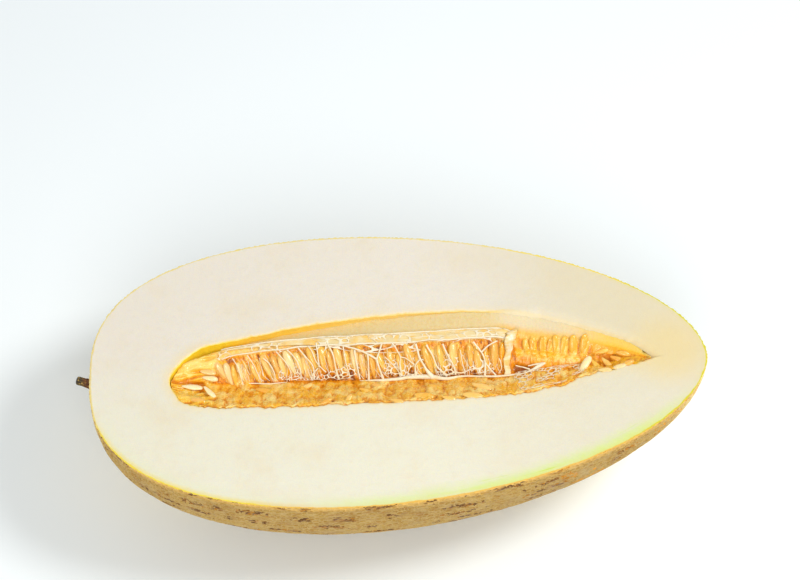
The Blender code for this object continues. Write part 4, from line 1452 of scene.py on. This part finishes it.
def seed_cluster(finish):
    seeds = seed_layout()
    turns = [seed_axes(seed.forward, seed.outward, seed.roll).to_euler() for seed in seeds]
    points = line_object(
        "seed points", [[placed(seed.middle)] for seed in seeds],
        turn=[tuple(turn) for turn in turns], size=[float(seed.size) for seed in seeds],
        bare=[float(seed.bare) for seed in seeds], tone=[seed.tone for seed in seeds],
    )
    cluster = grown("seeds", points, seed_tree(finish), {"Length": SEED_LENGTH, "Finish": finish})
    hand_over(cluster, "seeds")
    return cluster


def seed_finish(looks):
    paint = Paint("seeds")
    bare, tone = paint.attribute("bare"), paint.attribute("tone")
    cloud = paint.noise(paint.place, 3 * MM, detail=2.0)
    wet = paint.fade(looks.gold[:], looks.deep[:], tone, 0.0, 1.0, 0.0, 0.6)
    # Painted highlight: pale patches, as of light on the wet skins, where the noise is high
    wet = paint.fade(wet, WET_HIGHLIGHT, cloud, 0.5, 0.74, 0.0, 0.5)
    kernel = paint.fade(looks.bare[:], YELLOW_KERNEL, cloud, 0.4, 0.7, 0.0, 0.35)
    seed = paint.mix(bare, wet, kernel)
    return paint.finish({
        "Base Color": seed,
        "Roughness": paint.ramp(cloud, 0.3, 0.7, 0.25, 0.38),
        "Specular IOR Level": 0.35,
    }, wet=(0.35, 0.1), soft=(0.3, (1.0, 0.6, 0.25), 1.5 * MM))


# The pale fibres over the seeds


# Strands, as pixels of the photograph from the top to the foot, with the strand's radius in mm at
# its top, in its middle and at its foot
STRANDS = (
    (((316, 344), (318, 356), (319, 367)), 0.45, 0.32, 0.45),
    (((328, 345), (333, 355), (336, 369), (339, 380)), 0.6, 0.4, 0.6),
    (((343, 346), (346, 363), (349, 373), (350, 379)), 0.4, 0.28, 0.4),
    (((354.5, 350), (356, 361), (358, 370), (360, 380)), 0.5, 0.35, 0.5),
    (((320, 344.6), (342, 345.7), (357, 349.4), (365.5, 352.7), (376.4, 359.2)), 0.45, 0.5, 0.6),
    (((381.5, 344), (379, 352), (376.4, 359.2)), 0.55, 0.4, 0.6),
    (((376.4, 359.2), (379.6, 369), (383.4, 380)), 0.6, 0.45, 0.7),
    (((367.5, 353), (368.6, 365.7), (368.8, 381)), 0.5, 0.38, 0.6),
    (((385, 357), (393.7, 365.7), (398, 371), (401, 377)), 0.3, 0.25, 0.35),
    (((392, 344), (395, 347), (400.2, 357), (399.7, 363.5), (402, 377)), 0.5, 0.35, 0.5),
    (((400.2, 357), (405.6, 358.1), (414.3, 364.6)), 0.4, 0.3, 0.5),
    (((419.7, 359), (416.5, 363), (415, 367), (416, 377)), 0.45, 0.4, 0.7),
    (((415.4, 344), (419.7, 358.1), (425.2, 367.9), (432, 378)), 0.6, 0.5, 1.7),
    (((426.2, 345), (432.7, 356), (436.5, 365.7), (441.4, 371.1), (447, 377)), 0.5, 0.38, 0.7),
    (((442.5, 344), (447.9, 356), (453.3, 365.7), (455.5, 375)), 0.5, 0.35, 0.6),
    (((447, 376), (455, 372.8), (462, 373.3), (474, 368)), 0.5, 0.4, 0.25),
    (((460, 350), (462, 362), (465, 374)), 0.28, 0.25, 0.35),
    (((473, 342), (481.5, 352.7), (484.8, 361.4), (484.8, 377)), 0.55, 0.42, 0.7),
    (((497, 341), (488, 345.5), (481.5, 352)), 0.45, 0.4, 0.5),
    (((484.8, 361.4), (489, 368), (496, 376)), 0.4, 0.32, 0.45),
    (((499, 358), (501.5, 367), (499, 374)), 0.3, 0.25, 0.35),
    (((516, 366), (522, 368), (530, 370)), 0.3, 0.3, 0.4),
    (((263, 358), (269, 363), (274, 372), (275, 380)), 0.3, 0.3, 0.35),
    (((276, 352), (284, 360), (290, 370), (292, 381)), 0.3, 0.28, 0.35),
    (((287, 350), (295, 358), (300, 368), (301, 380)), 0.35, 0.3, 0.4),
    (((298, 348), (304, 355), (313, 366), (314, 380)), 0.4, 0.35, 0.5),
    (((308, 346), (312, 352), (317, 363), (326, 372)), 0.35, 0.28, 0.35),
    (((318, 368), (313, 374), (311, 381)), 0.4, 0.3, 0.35),
    (((247, 355), (252, 362), (258, 374), (262, 383)), 0.25, 0.25, 0.3),
    (((232, 358), (237, 366), (241, 378), (243, 386)), 0.25, 0.25, 0.3),
)
# The ledge's white band and the tongue that it ends in beyond the strap
LEDGE_BAND = (
    ((249, 384, 0.3), (258, 384, 0.35), (268, 384.5, 0.35), (278, 383.6, 0.3), (287, 382.6, 0.15)),
    ((360, 381, 0.2), (372, 381, 0.5), (383, 381, 0.8), (400, 379.5, 1.0), (407, 378, 1.1),
     (418, 377.5, 1.3), (432, 378, 1.4), (440, 379, 1.1), (449, 379.5, 0.9), (457, 377.5, 0.7),
     (466, 376.5, 0.55), (482, 377, 0.6), (498, 377, 0.6), (513, 375.5, 0.5), (524, 374, 0.5),
     (532, 370.5, 0.6), (540, 366, 1.1), (545.5, 363, 0.4)),
    ((528, 366, 0.3), (536, 364.5, 0.5), (543, 364, 0.9)),
)
# The nets: x from and to in mm, how far across the pulp from and to, size of a cell in mm along
# and across, how much of a cell is open, how far the net stands off the pulp in mm, and how stained
# it is
NETS = (
    (-95, 59, 1.98, 2.98, 5.0, 3.2, 0.93, 1.5, 1.1),
    (-64, 50, 1.02, 1.6, 3.2, 3.4, 0.93, 1.6, 0.3),
    (60, 96, 0.1, 1.0, 2.7, 3.6, 0.87, 0.6, 1.5),
)
WEB_LIFT = 2.6 * MM  # of the strands' middles off the smooth pulp
FOOT_LIFT = 0.7 * MM
BAND_LIFT = 0.3 * MM
THREADS = 90
NET_THICKNESS = 0.24 * MM
SAME_PLACE = 0.01 * MM  # corners this near are joined
MEMBRANE = (2.02, 2.92)  # across the pulp's top
MEMBRANE_LIFT = 1.1 * MM
MEMBRANE_THICKNESS = 0.28 * MM
MEMBRANE_START = -92 * MM
MEMBRANE_END = 59 * MM
WEB_CEILING = -0.3 * MM
STRAP_X = 56.6 * MM
STRAP_CEILING = 0.3 * MM


def fibre_tree(finish):
    """Sweeps a round section of the radius that each point holds along every line."""
    tree, nodes, given, end = new_tree("fibres", {
        "Step": 0.7 * MM, "Sides": 7, "Sway": 0.5 * MM, "Finish": finish,
    })
    lines = nodes.add("GeometryNodeMeshToCurve", {"Mesh": given["Geometry"]})
    lines = nodes.add("GeometryNodeCurveSplineType", {"Curve": lines}, spline_type="CATMULL_ROM")
    lines = nodes.add("GeometryNodeSetCurveRadius", {"Curve": lines, "Radius": nodes.named("thick")})
    lines = nodes.add(
        "GeometryNodeResampleCurve", {"Curve": lines, "Length": given["Step"]}, mode="LENGTH",
    )
    lines = nodes.swayed(lines, 3 * MM, given["Sway"])
    section = nodes.add(
        "GeometryNodeCurvePrimitiveCircle", {"Resolution": given["Sides"], "Radius": 1.0},
    )
    radius = nodes.add("GeometryNodeInputRadius")
    cords = nodes.add("GeometryNodeCurveToMesh", {
        "Curve": lines, "Profile Curve": section, "Scale": radius, "Fill Caps": True,
    })
    finish_tree(nodes, given, cords, end)
    return tree


def fibre_lines():
    """The strands, bands and threads as lines of points on the pulp, and each point's radius."""
    lines, radii = [], []
    draw = random.Random(23)

    def lay(points, sizes, lifts):
        lines.append([
            placed(above_pulp(*under_pixel(pixel), lift)) for pixel, lift in zip(points, lifts)
        ])
        radii.extend(size * MM for size in sizes)

    for points, top, middle, foot in STRANDS:
        last = len(points) - 1
        sizes, lifts = [], []
        for i in range(last + 1):
            share = i / last
            ends = abs(2 * share - 1) ** 2
            sizes.append(middle + ((top if share < 0.5 else foot) - middle) * ends)
            x, across = under_pixel(points[i])
            clear = smooth_step(across, 0.98, 1.3) * (1 - 0.5 * smooth_step(across, 1.8, 2.1))
            lifts.append(FOOT_LIFT + (WEB_LIFT - FOOT_LIFT) * clear)
        lay(points, sizes, lifts)
    for band in LEDGE_BAND:
        lay(
            [point[:2] for point in band], [point[2] for point in band],
            [BAND_LIFT + point[2] * 0.3 * MM for point in band],
        )

    # The membrane's two beaded edges, which run along the fruit
    for across, size, swing in ((MEMBRANE[0] + 0.02, 0.5, 0.10), (MEMBRANE[1], 0.4, 0.05)):
        line = []
        steps = 60
        for i in range(steps + 1):
            x = MEMBRANE_START + (MEMBRANE_END - MEMBRANE_START) * i / steps
            stray = swing * noise.noise(Vector((x / (11 * MM), across, 0)))
            line.append(placed(above_pulp(x, min(across + stray, 2.97), 1.3 * MM)))
            radii.append(size * MM * (0.5 + 0.5 * min(i / 12, 1)) * draw.uniform(0.7, 1.25))
        lines.append(line)

    # Fine threads between the strands
    for _ in range(THREADS):
        x = draw.uniform(-84, 50) * MM
        top = draw.uniform(1.2, 1.9)
        foot = max(top - draw.uniform(0.25, 0.6), 1.0)
        drift = draw.uniform(-1.0, 4.5) * MM
        line = []
        for i in range(4):
            share = i / 3
            across = top + (foot - top) * share
            line.append(placed(above_pulp(x + drift * share, across, draw.uniform(1.2, 2.4) * MM)))
            radii.append(draw.uniform(0.1, 0.2) * MM)
        lines.append(line)
    return lines, radii


def net_layouts():
    """Sheets of shaken triangles above the pulp, one cell of a net round each corner."""
    draw = random.Random(3)
    corners, faces, opened, stains = [], [], [], []
    for start, end, low, high, along, aside, opening, lift, stain in NETS:
        middle = (start + end) / 2 * MM
        width = (smooth_top(middle, high) - smooth_top(middle, low)).length
        rows = max(round(width / MM / aside / ROW_STEP), 2)
        columns = round((end - start) / along)
        flat = []
        for j in range(rows + 1):
            for i in range(columns + 1):
                offset = 0.5 * (j % 2) + draw.uniform(-0.85, 0.85)
                stray = draw.uniform(-0.7, 0.7)
                flat.append(Vector(((i + offset) * along, (j + stray) * width / MM / rows)))
        _, _, triangles, origins, _, _ = delaunay_2d_cdt(flat, [], [], 0, 1e-6)
        first = len(corners)
        for origin in origins:
            spot = flat[origin[0]]
            across = low + (high - low) * spot.y / (width / MM)
            place = above_pulp((start + spot.x) * MM, min(max(across, 0), 3), lift * MM)
            place.z = min(place.z, WEB_CEILING)
            corners.append(placed(place))
            opened.append(float(min(opening + draw.uniform(-0.12, 0.06), 0.96)))
            stains.append(stain)
        for triangle in triangles:
            spot = sum((flat[origins[corner][0]] for corner in triangle), Vector((0, 0))) / 3
            if noise.noise(Vector((spot.x, spot.y, start)) / 5) < 0.3:
                faces.append([first + corner for corner in triangle])
    mesh = bpy.data.meshes.new("net sheets")
    mesh.from_pydata(corners, [], faces)
    mesh.attributes.new("opened", "FLOAT", "POINT").data.foreach_set("value", opened)
    mesh.attributes.new("stained", "FLOAT", "POINT").data.foreach_set("value", stains)
    return linked("net sheets", mesh)


def net_tree(finish):
    """Turns the sheets' corners into open cells with rounded threads between them."""
    tree, nodes, given, end = new_tree("net", {
        "Thickness": NET_THICKNESS, "Sway": 0.8 * MM, "Smoothing": 1, "Finish": finish,
    })
    cells = nodes.add("GeometryNodeDualMesh", {"Mesh": given["Geometry"]})
    cells = nodes.swayed(cells, 4 * MM, given["Sway"])
    cells, holes = nodes.sunk_cells(cells, nodes.named("opened"))
    threads = nodes.add(
        "GeometryNodeDeleteGeometry", {"Geometry": cells, "Selection": holes}, domain="FACE",
    )
    threads = nodes.add("GeometryNodeMergeByDistance", {"Geometry": threads, "Distance": SAME_PLACE})
    raised = nodes.add("GeometryNodeExtrudeMesh", {
        "Mesh": threads, "Offset Scale": given["Thickness"], "Individual": False,
    }, mode="FACES")
    under = nodes.add("GeometryNodeFlipFaces", {"Mesh": threads})
    both = nodes.add("GeometryNodeJoinGeometry")
    nodes.tree.links.new(raised, both.node.inputs[0])
    nodes.tree.links.new(under, both.node.inputs[0])
    closed = nodes.add("GeometryNodeMergeByDistance", {"Geometry": both, "Distance": SAME_PLACE})
    rounded = nodes.add(
        "GeometryNodeSubdivisionSurface", {"Mesh": closed, "Level": given["Smoothing"]},
    )
    finish_tree(nodes, given, rounded, end)
    return tree


def membrane_point(x, across, side):
    """A point of the thin membrane's top (side 1) or underside (side -1)."""
    ripple = 0.5 * MM * noise.noise(smooth_top(x, across) / (4 * MM))
    aside = side * MEMBRANE_THICKNESS / 2
    spot = above_pulp(x, across, MEMBRANE_LIFT + ripple + aside)
    spot.z = min(spot.z, WEB_CEILING + aside)
    return placed(spot)


def membrane(bm, stained):
    """The thin sheet between the two beaded edges, as a closed flat tube."""
    steps, rows = 180, 10
    rings = []
    for i in range(steps + 1):
        x = MEMBRANE_START + (MEMBRANE_END - MEMBRANE_START) * i / steps
        low, high = MEMBRANE
        narrow = smooth_step(x, -94 * MM, -30 * MM)
        middle, half = (low + high) / 2, (high - low) / 2 * (0.15 + 0.85 * narrow)
        middle += 0.25 * (1 - narrow)
        acrosses = [middle - half + 2 * half * j / rows for j in range(rows + 1)]
        points = [membrane_point(x, across, 1) for across in acrosses]
        points += [membrane_point(x, across, -1) for across in reversed(acrosses)]
        rings.append([bm.verts.new(point) for point in points])
        for made in rings[-1]:
            made[stained] = 1.0
    close_loft(bm, rings)


# The strap's middle line: how far across, and in mm its lift, half width and half thickness
STRAP_LINE = (
    (0.96, 0.3, 2.0, 0.35), (1.05, 1.2, 1.7, 0.4), (1.15, 2.0, 1.9, 0.4), (1.3, 2.8, 1.6, 0.4),
    (1.45, 3.2, 1.9, 0.4), (1.6, 3.4, 1.7, 0.4), (1.72, 3.3, 2.1, 0.4), (1.84, 3.1, 2.3, 0.45),
    (1.95, 2.6, 2.3, 0.5), (2.1, 2.4, 2.8, 0.55), (2.3, 2.2, 2.9, 0.7), (2.55, 2.1, 2.5, 0.6),
    (2.8, 1.9, 3.2, 0.8), (2.98, 1.7, 3.4, 0.6),
)
STRAP_SIDES = 14


def strap(bm, stained):
    """The broad band that stands at the row's end, with its curled head."""
    rings = []
    for k, (across, lift, half_width, half_depth) in enumerate(STRAP_LINE):
        x = STRAP_X + (0.022 * k * k + 0.45 * math.sin(k * 1.3)) * MM
        twist = 0.5 * math.sin(k * 0.8)
        centre = above_pulp(x, across, lift * MM)
        outward = pulp_outward(x, min(across, 2))
        ring = []
        for i in range(STRAP_SIDES):
            turn = 2 * math.pi * i / STRAP_SIDES
            groove = 1 - 0.5 * math.exp(-(math.cos(turn) / 0.35) ** 2)
            torn = Vector((k * 0.8, math.cos(turn) * 2, math.sin(turn) * 2))
            ragged = 1 + 0.4 * noise.noise(torn)
            offset = Vector((math.cos(turn) * half_width * ragged, 0, 0))
            turned = Matrix.Rotation(twist, 3, (0, 1, 0)) @ offset
            spot = centre + (turned + outward * math.sin(turn) * half_depth * groove) * MM
            spot.z = min(spot.z, STRAP_CEILING)
            ring.append(bm.verts.new(placed(spot)))
            blotch = max(noise.noise(Vector((k * 0.45, math.cos(turn), 9))), 0)
            ring[-1][stained] = 0.35 + 0.5 * abs(math.cos(turn)) ** 3 + 2.0 * blotch
        rings.append(ring)
    close_loft(bm, rings)


def fibre_net(finish):
    lines, radii = fibre_lines()
    cords = line_object("fibre lines", lines, thick=radii)
    cords = grown("fibre cords", cords, fibre_tree(finish), {"Finish": finish})
    nets = grown("nets", net_layouts(), net_tree(finish), {"Finish": finish})
    bm = bmesh.new()
    bm.verts.layers.float.new("stained")
    for made in (nets, cords):
        bm.from_mesh(made.data)
        bpy.data.objects.remove(made)
    for make in (membrane, strap):
        part = bmesh.new()
        make(part, part.verts.layers.float.new("stained"))
        face_out(part)
        mesh = bpy.data.meshes.new("part")
        part.to_mesh(mesh)
        part.free()
        bm.from_mesh(mesh)
        bpy.data.meshes.remove(mesh)
    net = object_from("seed_fibres", bm, finish)
    hand_over(net, "fibre", "fibre_web")
    return net


def fibre_finish(looks):
    paint = Paint("pale fibre")
    stained = paint.attribute("stained")
    cloud = paint.noise(paint.place, 5 * MM, detail=2.0)
    fine = paint.noise(paint.place, 1.0 * MM, detail=2.0)
    x, y, z = paint.split(paint.place)
    line_place = paint.joined(paint.product(x, 0.08), y, z)
    lines = paint.noise(line_place, 1.0 * MM, detail=2.0)
    sheet = paint.fade(looks.sheet[:], looks.stain[:], cloud, 0.42, 0.68)
    sheet = paint.fade(sheet, looks.fibre[:], lines, 0.5, 0.66, 0.0, 0.7)
    fibre = paint.fade(looks.fibre[:], looks.stain[:], cloud, 0.5, 0.75, 0.0, 0.4)
    fibre = paint.fade(fibre, sheet, stained, 0.1, 0.9)
    fibre = paint.fade(fibre, looks.sheet[:], fine, 0.4, 0.7, 0.0, 0.25)
    fibre = paint.fade(fibre, NET_STAIN, stained, 1.0, 1.5, 0.0, 0.7)
    return paint.finish({
        "Base Color": fibre,
        "Roughness": paint.ramp(fine, 0.3, 0.7, 0.3, 0.5),
        "Normal": paint.bump(fine, 0.1 * MM),
        "Specular IOR Level": 0.35,
    }, wet=(0.2, 0.15), soft=(0.2, (1.0, 0.8, 0.5), 1 * MM))


# The stem


STEM_PROFILE = (  # share of the stem's length, radius in its radii, how deep its grooves are
    (0, 1.22, 0.0), (0.1, 1.24, 0.02), (0.2, 1.22, 0.05), (0.3, 1.16, 0.09), (0.4, 1.08, 0.12),
    (0.52, 1.02, 0.13), (0.66, 0.98, 0.12), (0.78, 0.98, 0.12), (0.87, 1.0, 0.1), (0.93, 0.98, 0.08),
    (0.98, 0.88, 0.06), (1.0, 0.68, 0.04), (0.985, 0.4, 0.02),
)
STEM_SIDES = 60
STEM_RIBS = 10


def stem_stub(finish):
    across = STEM_DIRECTION.orthogonal().normalized()
    along = STEM_DIRECTION.cross(across)
    bm = bmesh.new()
    groove_layer = bm.verts.layers.float.new("groove")
    rings = []
    for share, radius, depth in STEM_PROFILE:
        ring = []
        for i in range(STEM_SIDES):
            turn = 2 * math.pi * i / STEM_SIDES
            rib = math.cos(STEM_RIBS * turn + 0.6 * math.sin(2 * turn) + share * 1.2)
            offset = across * math.cos(turn) + along * math.sin(turn)
            centre = STEM_FOOT + STEM_DIRECTION * STEM_LENGTH * share
            knot = noise.noise((centre + offset * STEM_RADIUS) / (1.3 * MM))
            reach = STEM_RADIUS * radius * (1 + depth * rib + 0.06 * knot)
            made = bm.verts.new(placed(centre + offset * reach))
            made[groove_layer] = 0.5 - 0.5 * rib
            ring.append(made)
        rings.append(ring)
    close_loft(bm, rings)
    face_out(bm)
    stub = object_from("stem_stub", bm, finish)
    hand_over(stub, "stem", "stem")
    return stub


def stem_finish(looks):
    paint = Paint("dry stem")
    groove = paint.attribute("groove")
    x = paint.split(paint.place)[0]
    cloud = paint.noise(paint.place, 1.3 * MM, detail=3.0, roughness=0.6)
    bark = paint.fade(looks.bark[:], looks.dark[:], groove, 0.3, 0.9)
    foot = paint.ramp(x, -161 * MM, -157.5 * MM)
    brown = paint.fade(FOOT_DARK, FOOT_BROWN, cloud, 0.4, 0.6)
    bark = paint.mix(paint.product(foot, 0.85), bark, brown)
    bark = paint.fade(bark, looks.spot[:], cloud, 0.56, 0.66, 0.0, 0.75)
    return paint.finish({
        "Base Color": bark,
        "Roughness": paint.ramp(cloud, 0.3, 0.7, 0.6, 0.85),
        "Normal": paint.bump(cloud, 0.3 * MM),
    })


# The floor, the lights and the camera


FLOOR_REACH = 6.0
FLOOR_Z = -0.2 * MM
KEY_PLACE = Vector((0.9, -0.15, 1.3))
FRONT_PLACE = Vector((-0.15, -1.15, 1.1))


def area_light(name, location, target, size, power, tint):
    light = bpy.data.lights.new(name, "AREA")
    light.shape = "DISK"
    light.size = size
    light.energy = power
    light.color = tint
    made = linked(name, light)
    made.location = location
    made.rotation_euler = (target - location).to_track_quat("-Z", "Y").to_euler()


def floor_finish(looks):
    paint = Paint("studio floor")
    cloud = paint.noise(paint.place, 0.4, detail=2.0)
    return paint.finish({
        "Base Color": paint.fade(looks.floor[:], FLOOR_CLOUD, cloud, 0.3, 0.7, 0.0, 0.04),
        "Roughness": 0.6,
        "Specular IOR Level": 0.2,
    })


def studio(looks):
    bm = bmesh.new()
    bmesh.ops.create_grid(bm, x_segments=8, y_segments=8, size=FLOOR_REACH)
    floor = object_from("studio_floor", bm, floor_finish(looks))
    floor.location.z = FLOOR_Z

    world = bpy.context.scene.world or bpy.data.worlds.new("studio")
    bpy.context.scene.world = world
    world.use_nodes = True
    background = world.node_tree.nodes["Background"]
    background.inputs["Color"].default_value = (1, 1, 1, 1)
    background.inputs["Strength"].default_value = looks.sky

    middle = placed((0, 0, -0.02))
    area_light("key", KEY_PLACE, middle, 0.5, looks.key_power, (1, 0.995, 0.98))
    area_light("front", FRONT_PLACE, middle, 0.9, looks.front_power, (1, 0.99, 0.97))

    lens = bpy.data.cameras.new("camera")
    lens.lens = looks.lens
    lens.sensor_width = SENSOR_WIDTH
    lens.clip_start = 0.05
    lens.clip_end = 50
    camera = linked("camera", lens)
    spot, right, up, back = camera_pose(looks)
    turn = Matrix((right, up, back)).transposed()
    camera.matrix_world = Matrix.Translation(spot) @ turn.to_4x4()
    bpy.context.scene.camera = camera
    bpy.context.scene.view_settings.view_transform = "Standard"


# Operators


class MELON_OT_stage(bpy.types.Operator):
    """Puts down the floor and sets up the lights and the camera"""

    bl_idname = "melon.stage"
    bl_label = "Stage"

    def execute(self, context):
        studio(context.scene.melon_stage)
        return {"FINISHED"}


class MELON_OT_fruit(bpy.types.Operator):
    """Makes the cut half with its netted rind, its flesh and its seed cavity"""

    bl_idname = "melon.fruit"
    bl_label = "Fruit"

    def execute(self, context):
        rind, flesh = context.scene.melon_rind, context.scene.melon_flesh
        cut_melon(rind, flesh, rind_finish(rind), flesh_finish(flesh))
        return {"FINISHED"}


class MELON_OT_pulp(bpy.types.Operator):
    """Makes the wet pulp that fills the seed cavity"""

    bl_idname = "melon.pulp"
    bl_label = "Pulp"

    def execute(self, context):
        looks = context.scene.melon_pulp
        seed_bed(looks, pulp_finish(looks))
        return {"FINISHED"}


class MELON_OT_seeds(bpy.types.Operator):
    """Puts the seeds in the pulp"""

    bl_idname = "melon.seeds"
    bl_label = "Seeds"

    def execute(self, context):
        seed_cluster(seed_finish(context.scene.melon_seeds))
        return {"FINISHED"}


class MELON_OT_fibres(bpy.types.Operator):
    """Stretches the pale membrane and strands over the seeds"""

    bl_idname = "melon.fibres"
    bl_label = "Fibres"

    def execute(self, context):
        fibre_net(fibre_finish(context.scene.melon_web))
        return {"FINISHED"}


class MELON_OT_stem(bpy.types.Operator):
    """Makes the dry stub of the stem"""

    bl_idname = "melon.stem"
    bl_label = "Stem"

    def execute(self, context):
        stem_stub(stem_finish(context.scene.melon_stem))
        return {"FINISHED"}


class MELON_PT_panel(bpy.types.Panel):
    """Lists the steps that dress the melon"""

    bl_idname = "MELON_PT_panel"
    bl_label = "Melon half"
    bl_space_type = "VIEW_3D"
    bl_region_type = "UI"
    bl_category = "Melon"

    def draw(self, context):
        for step in STEPS:
            self.layout.operator(step.bl_idname)


STEPS = (
    MELON_OT_stage, MELON_OT_fruit, MELON_OT_pulp, MELON_OT_seeds, MELON_OT_fibres, MELON_OT_stem,
)
SETTINGS = {
    "melon_rind": RindSettings, "melon_flesh": FleshSettings, "melon_pulp": PulpSettings,
    "melon_seeds": SeedSettings, "melon_web": WebSettings, "melon_stem": StemSettings,
    "melon_stage": StageSettings,
}


def register():
    for group in SETTINGS.values():
        bpy.utils.register_class(group)
    for step in STEPS:
        bpy.utils.register_class(step)
    bpy.utils.register_class(MELON_PT_panel)
    for name, group in SETTINGS.items():
        setattr(bpy.types.Scene, name, bpy.props.PointerProperty(type=group))


def unregister():
    for name in SETTINGS:
        delattr(bpy.types.Scene, name)
    bpy.utils.unregister_class(MELON_PT_panel)
    for step in reversed(STEPS):
        bpy.utils.unregister_class(step)
    for group in reversed(list(SETTINGS.values())):
        bpy.utils.unregister_class(group)


def main():
    register()
    for step in STEPS:
        group, name = step.bl_idname.split(".")
        getattr(getattr(bpy.ops, group), name)()


if __name__ == "__main__":
    main()
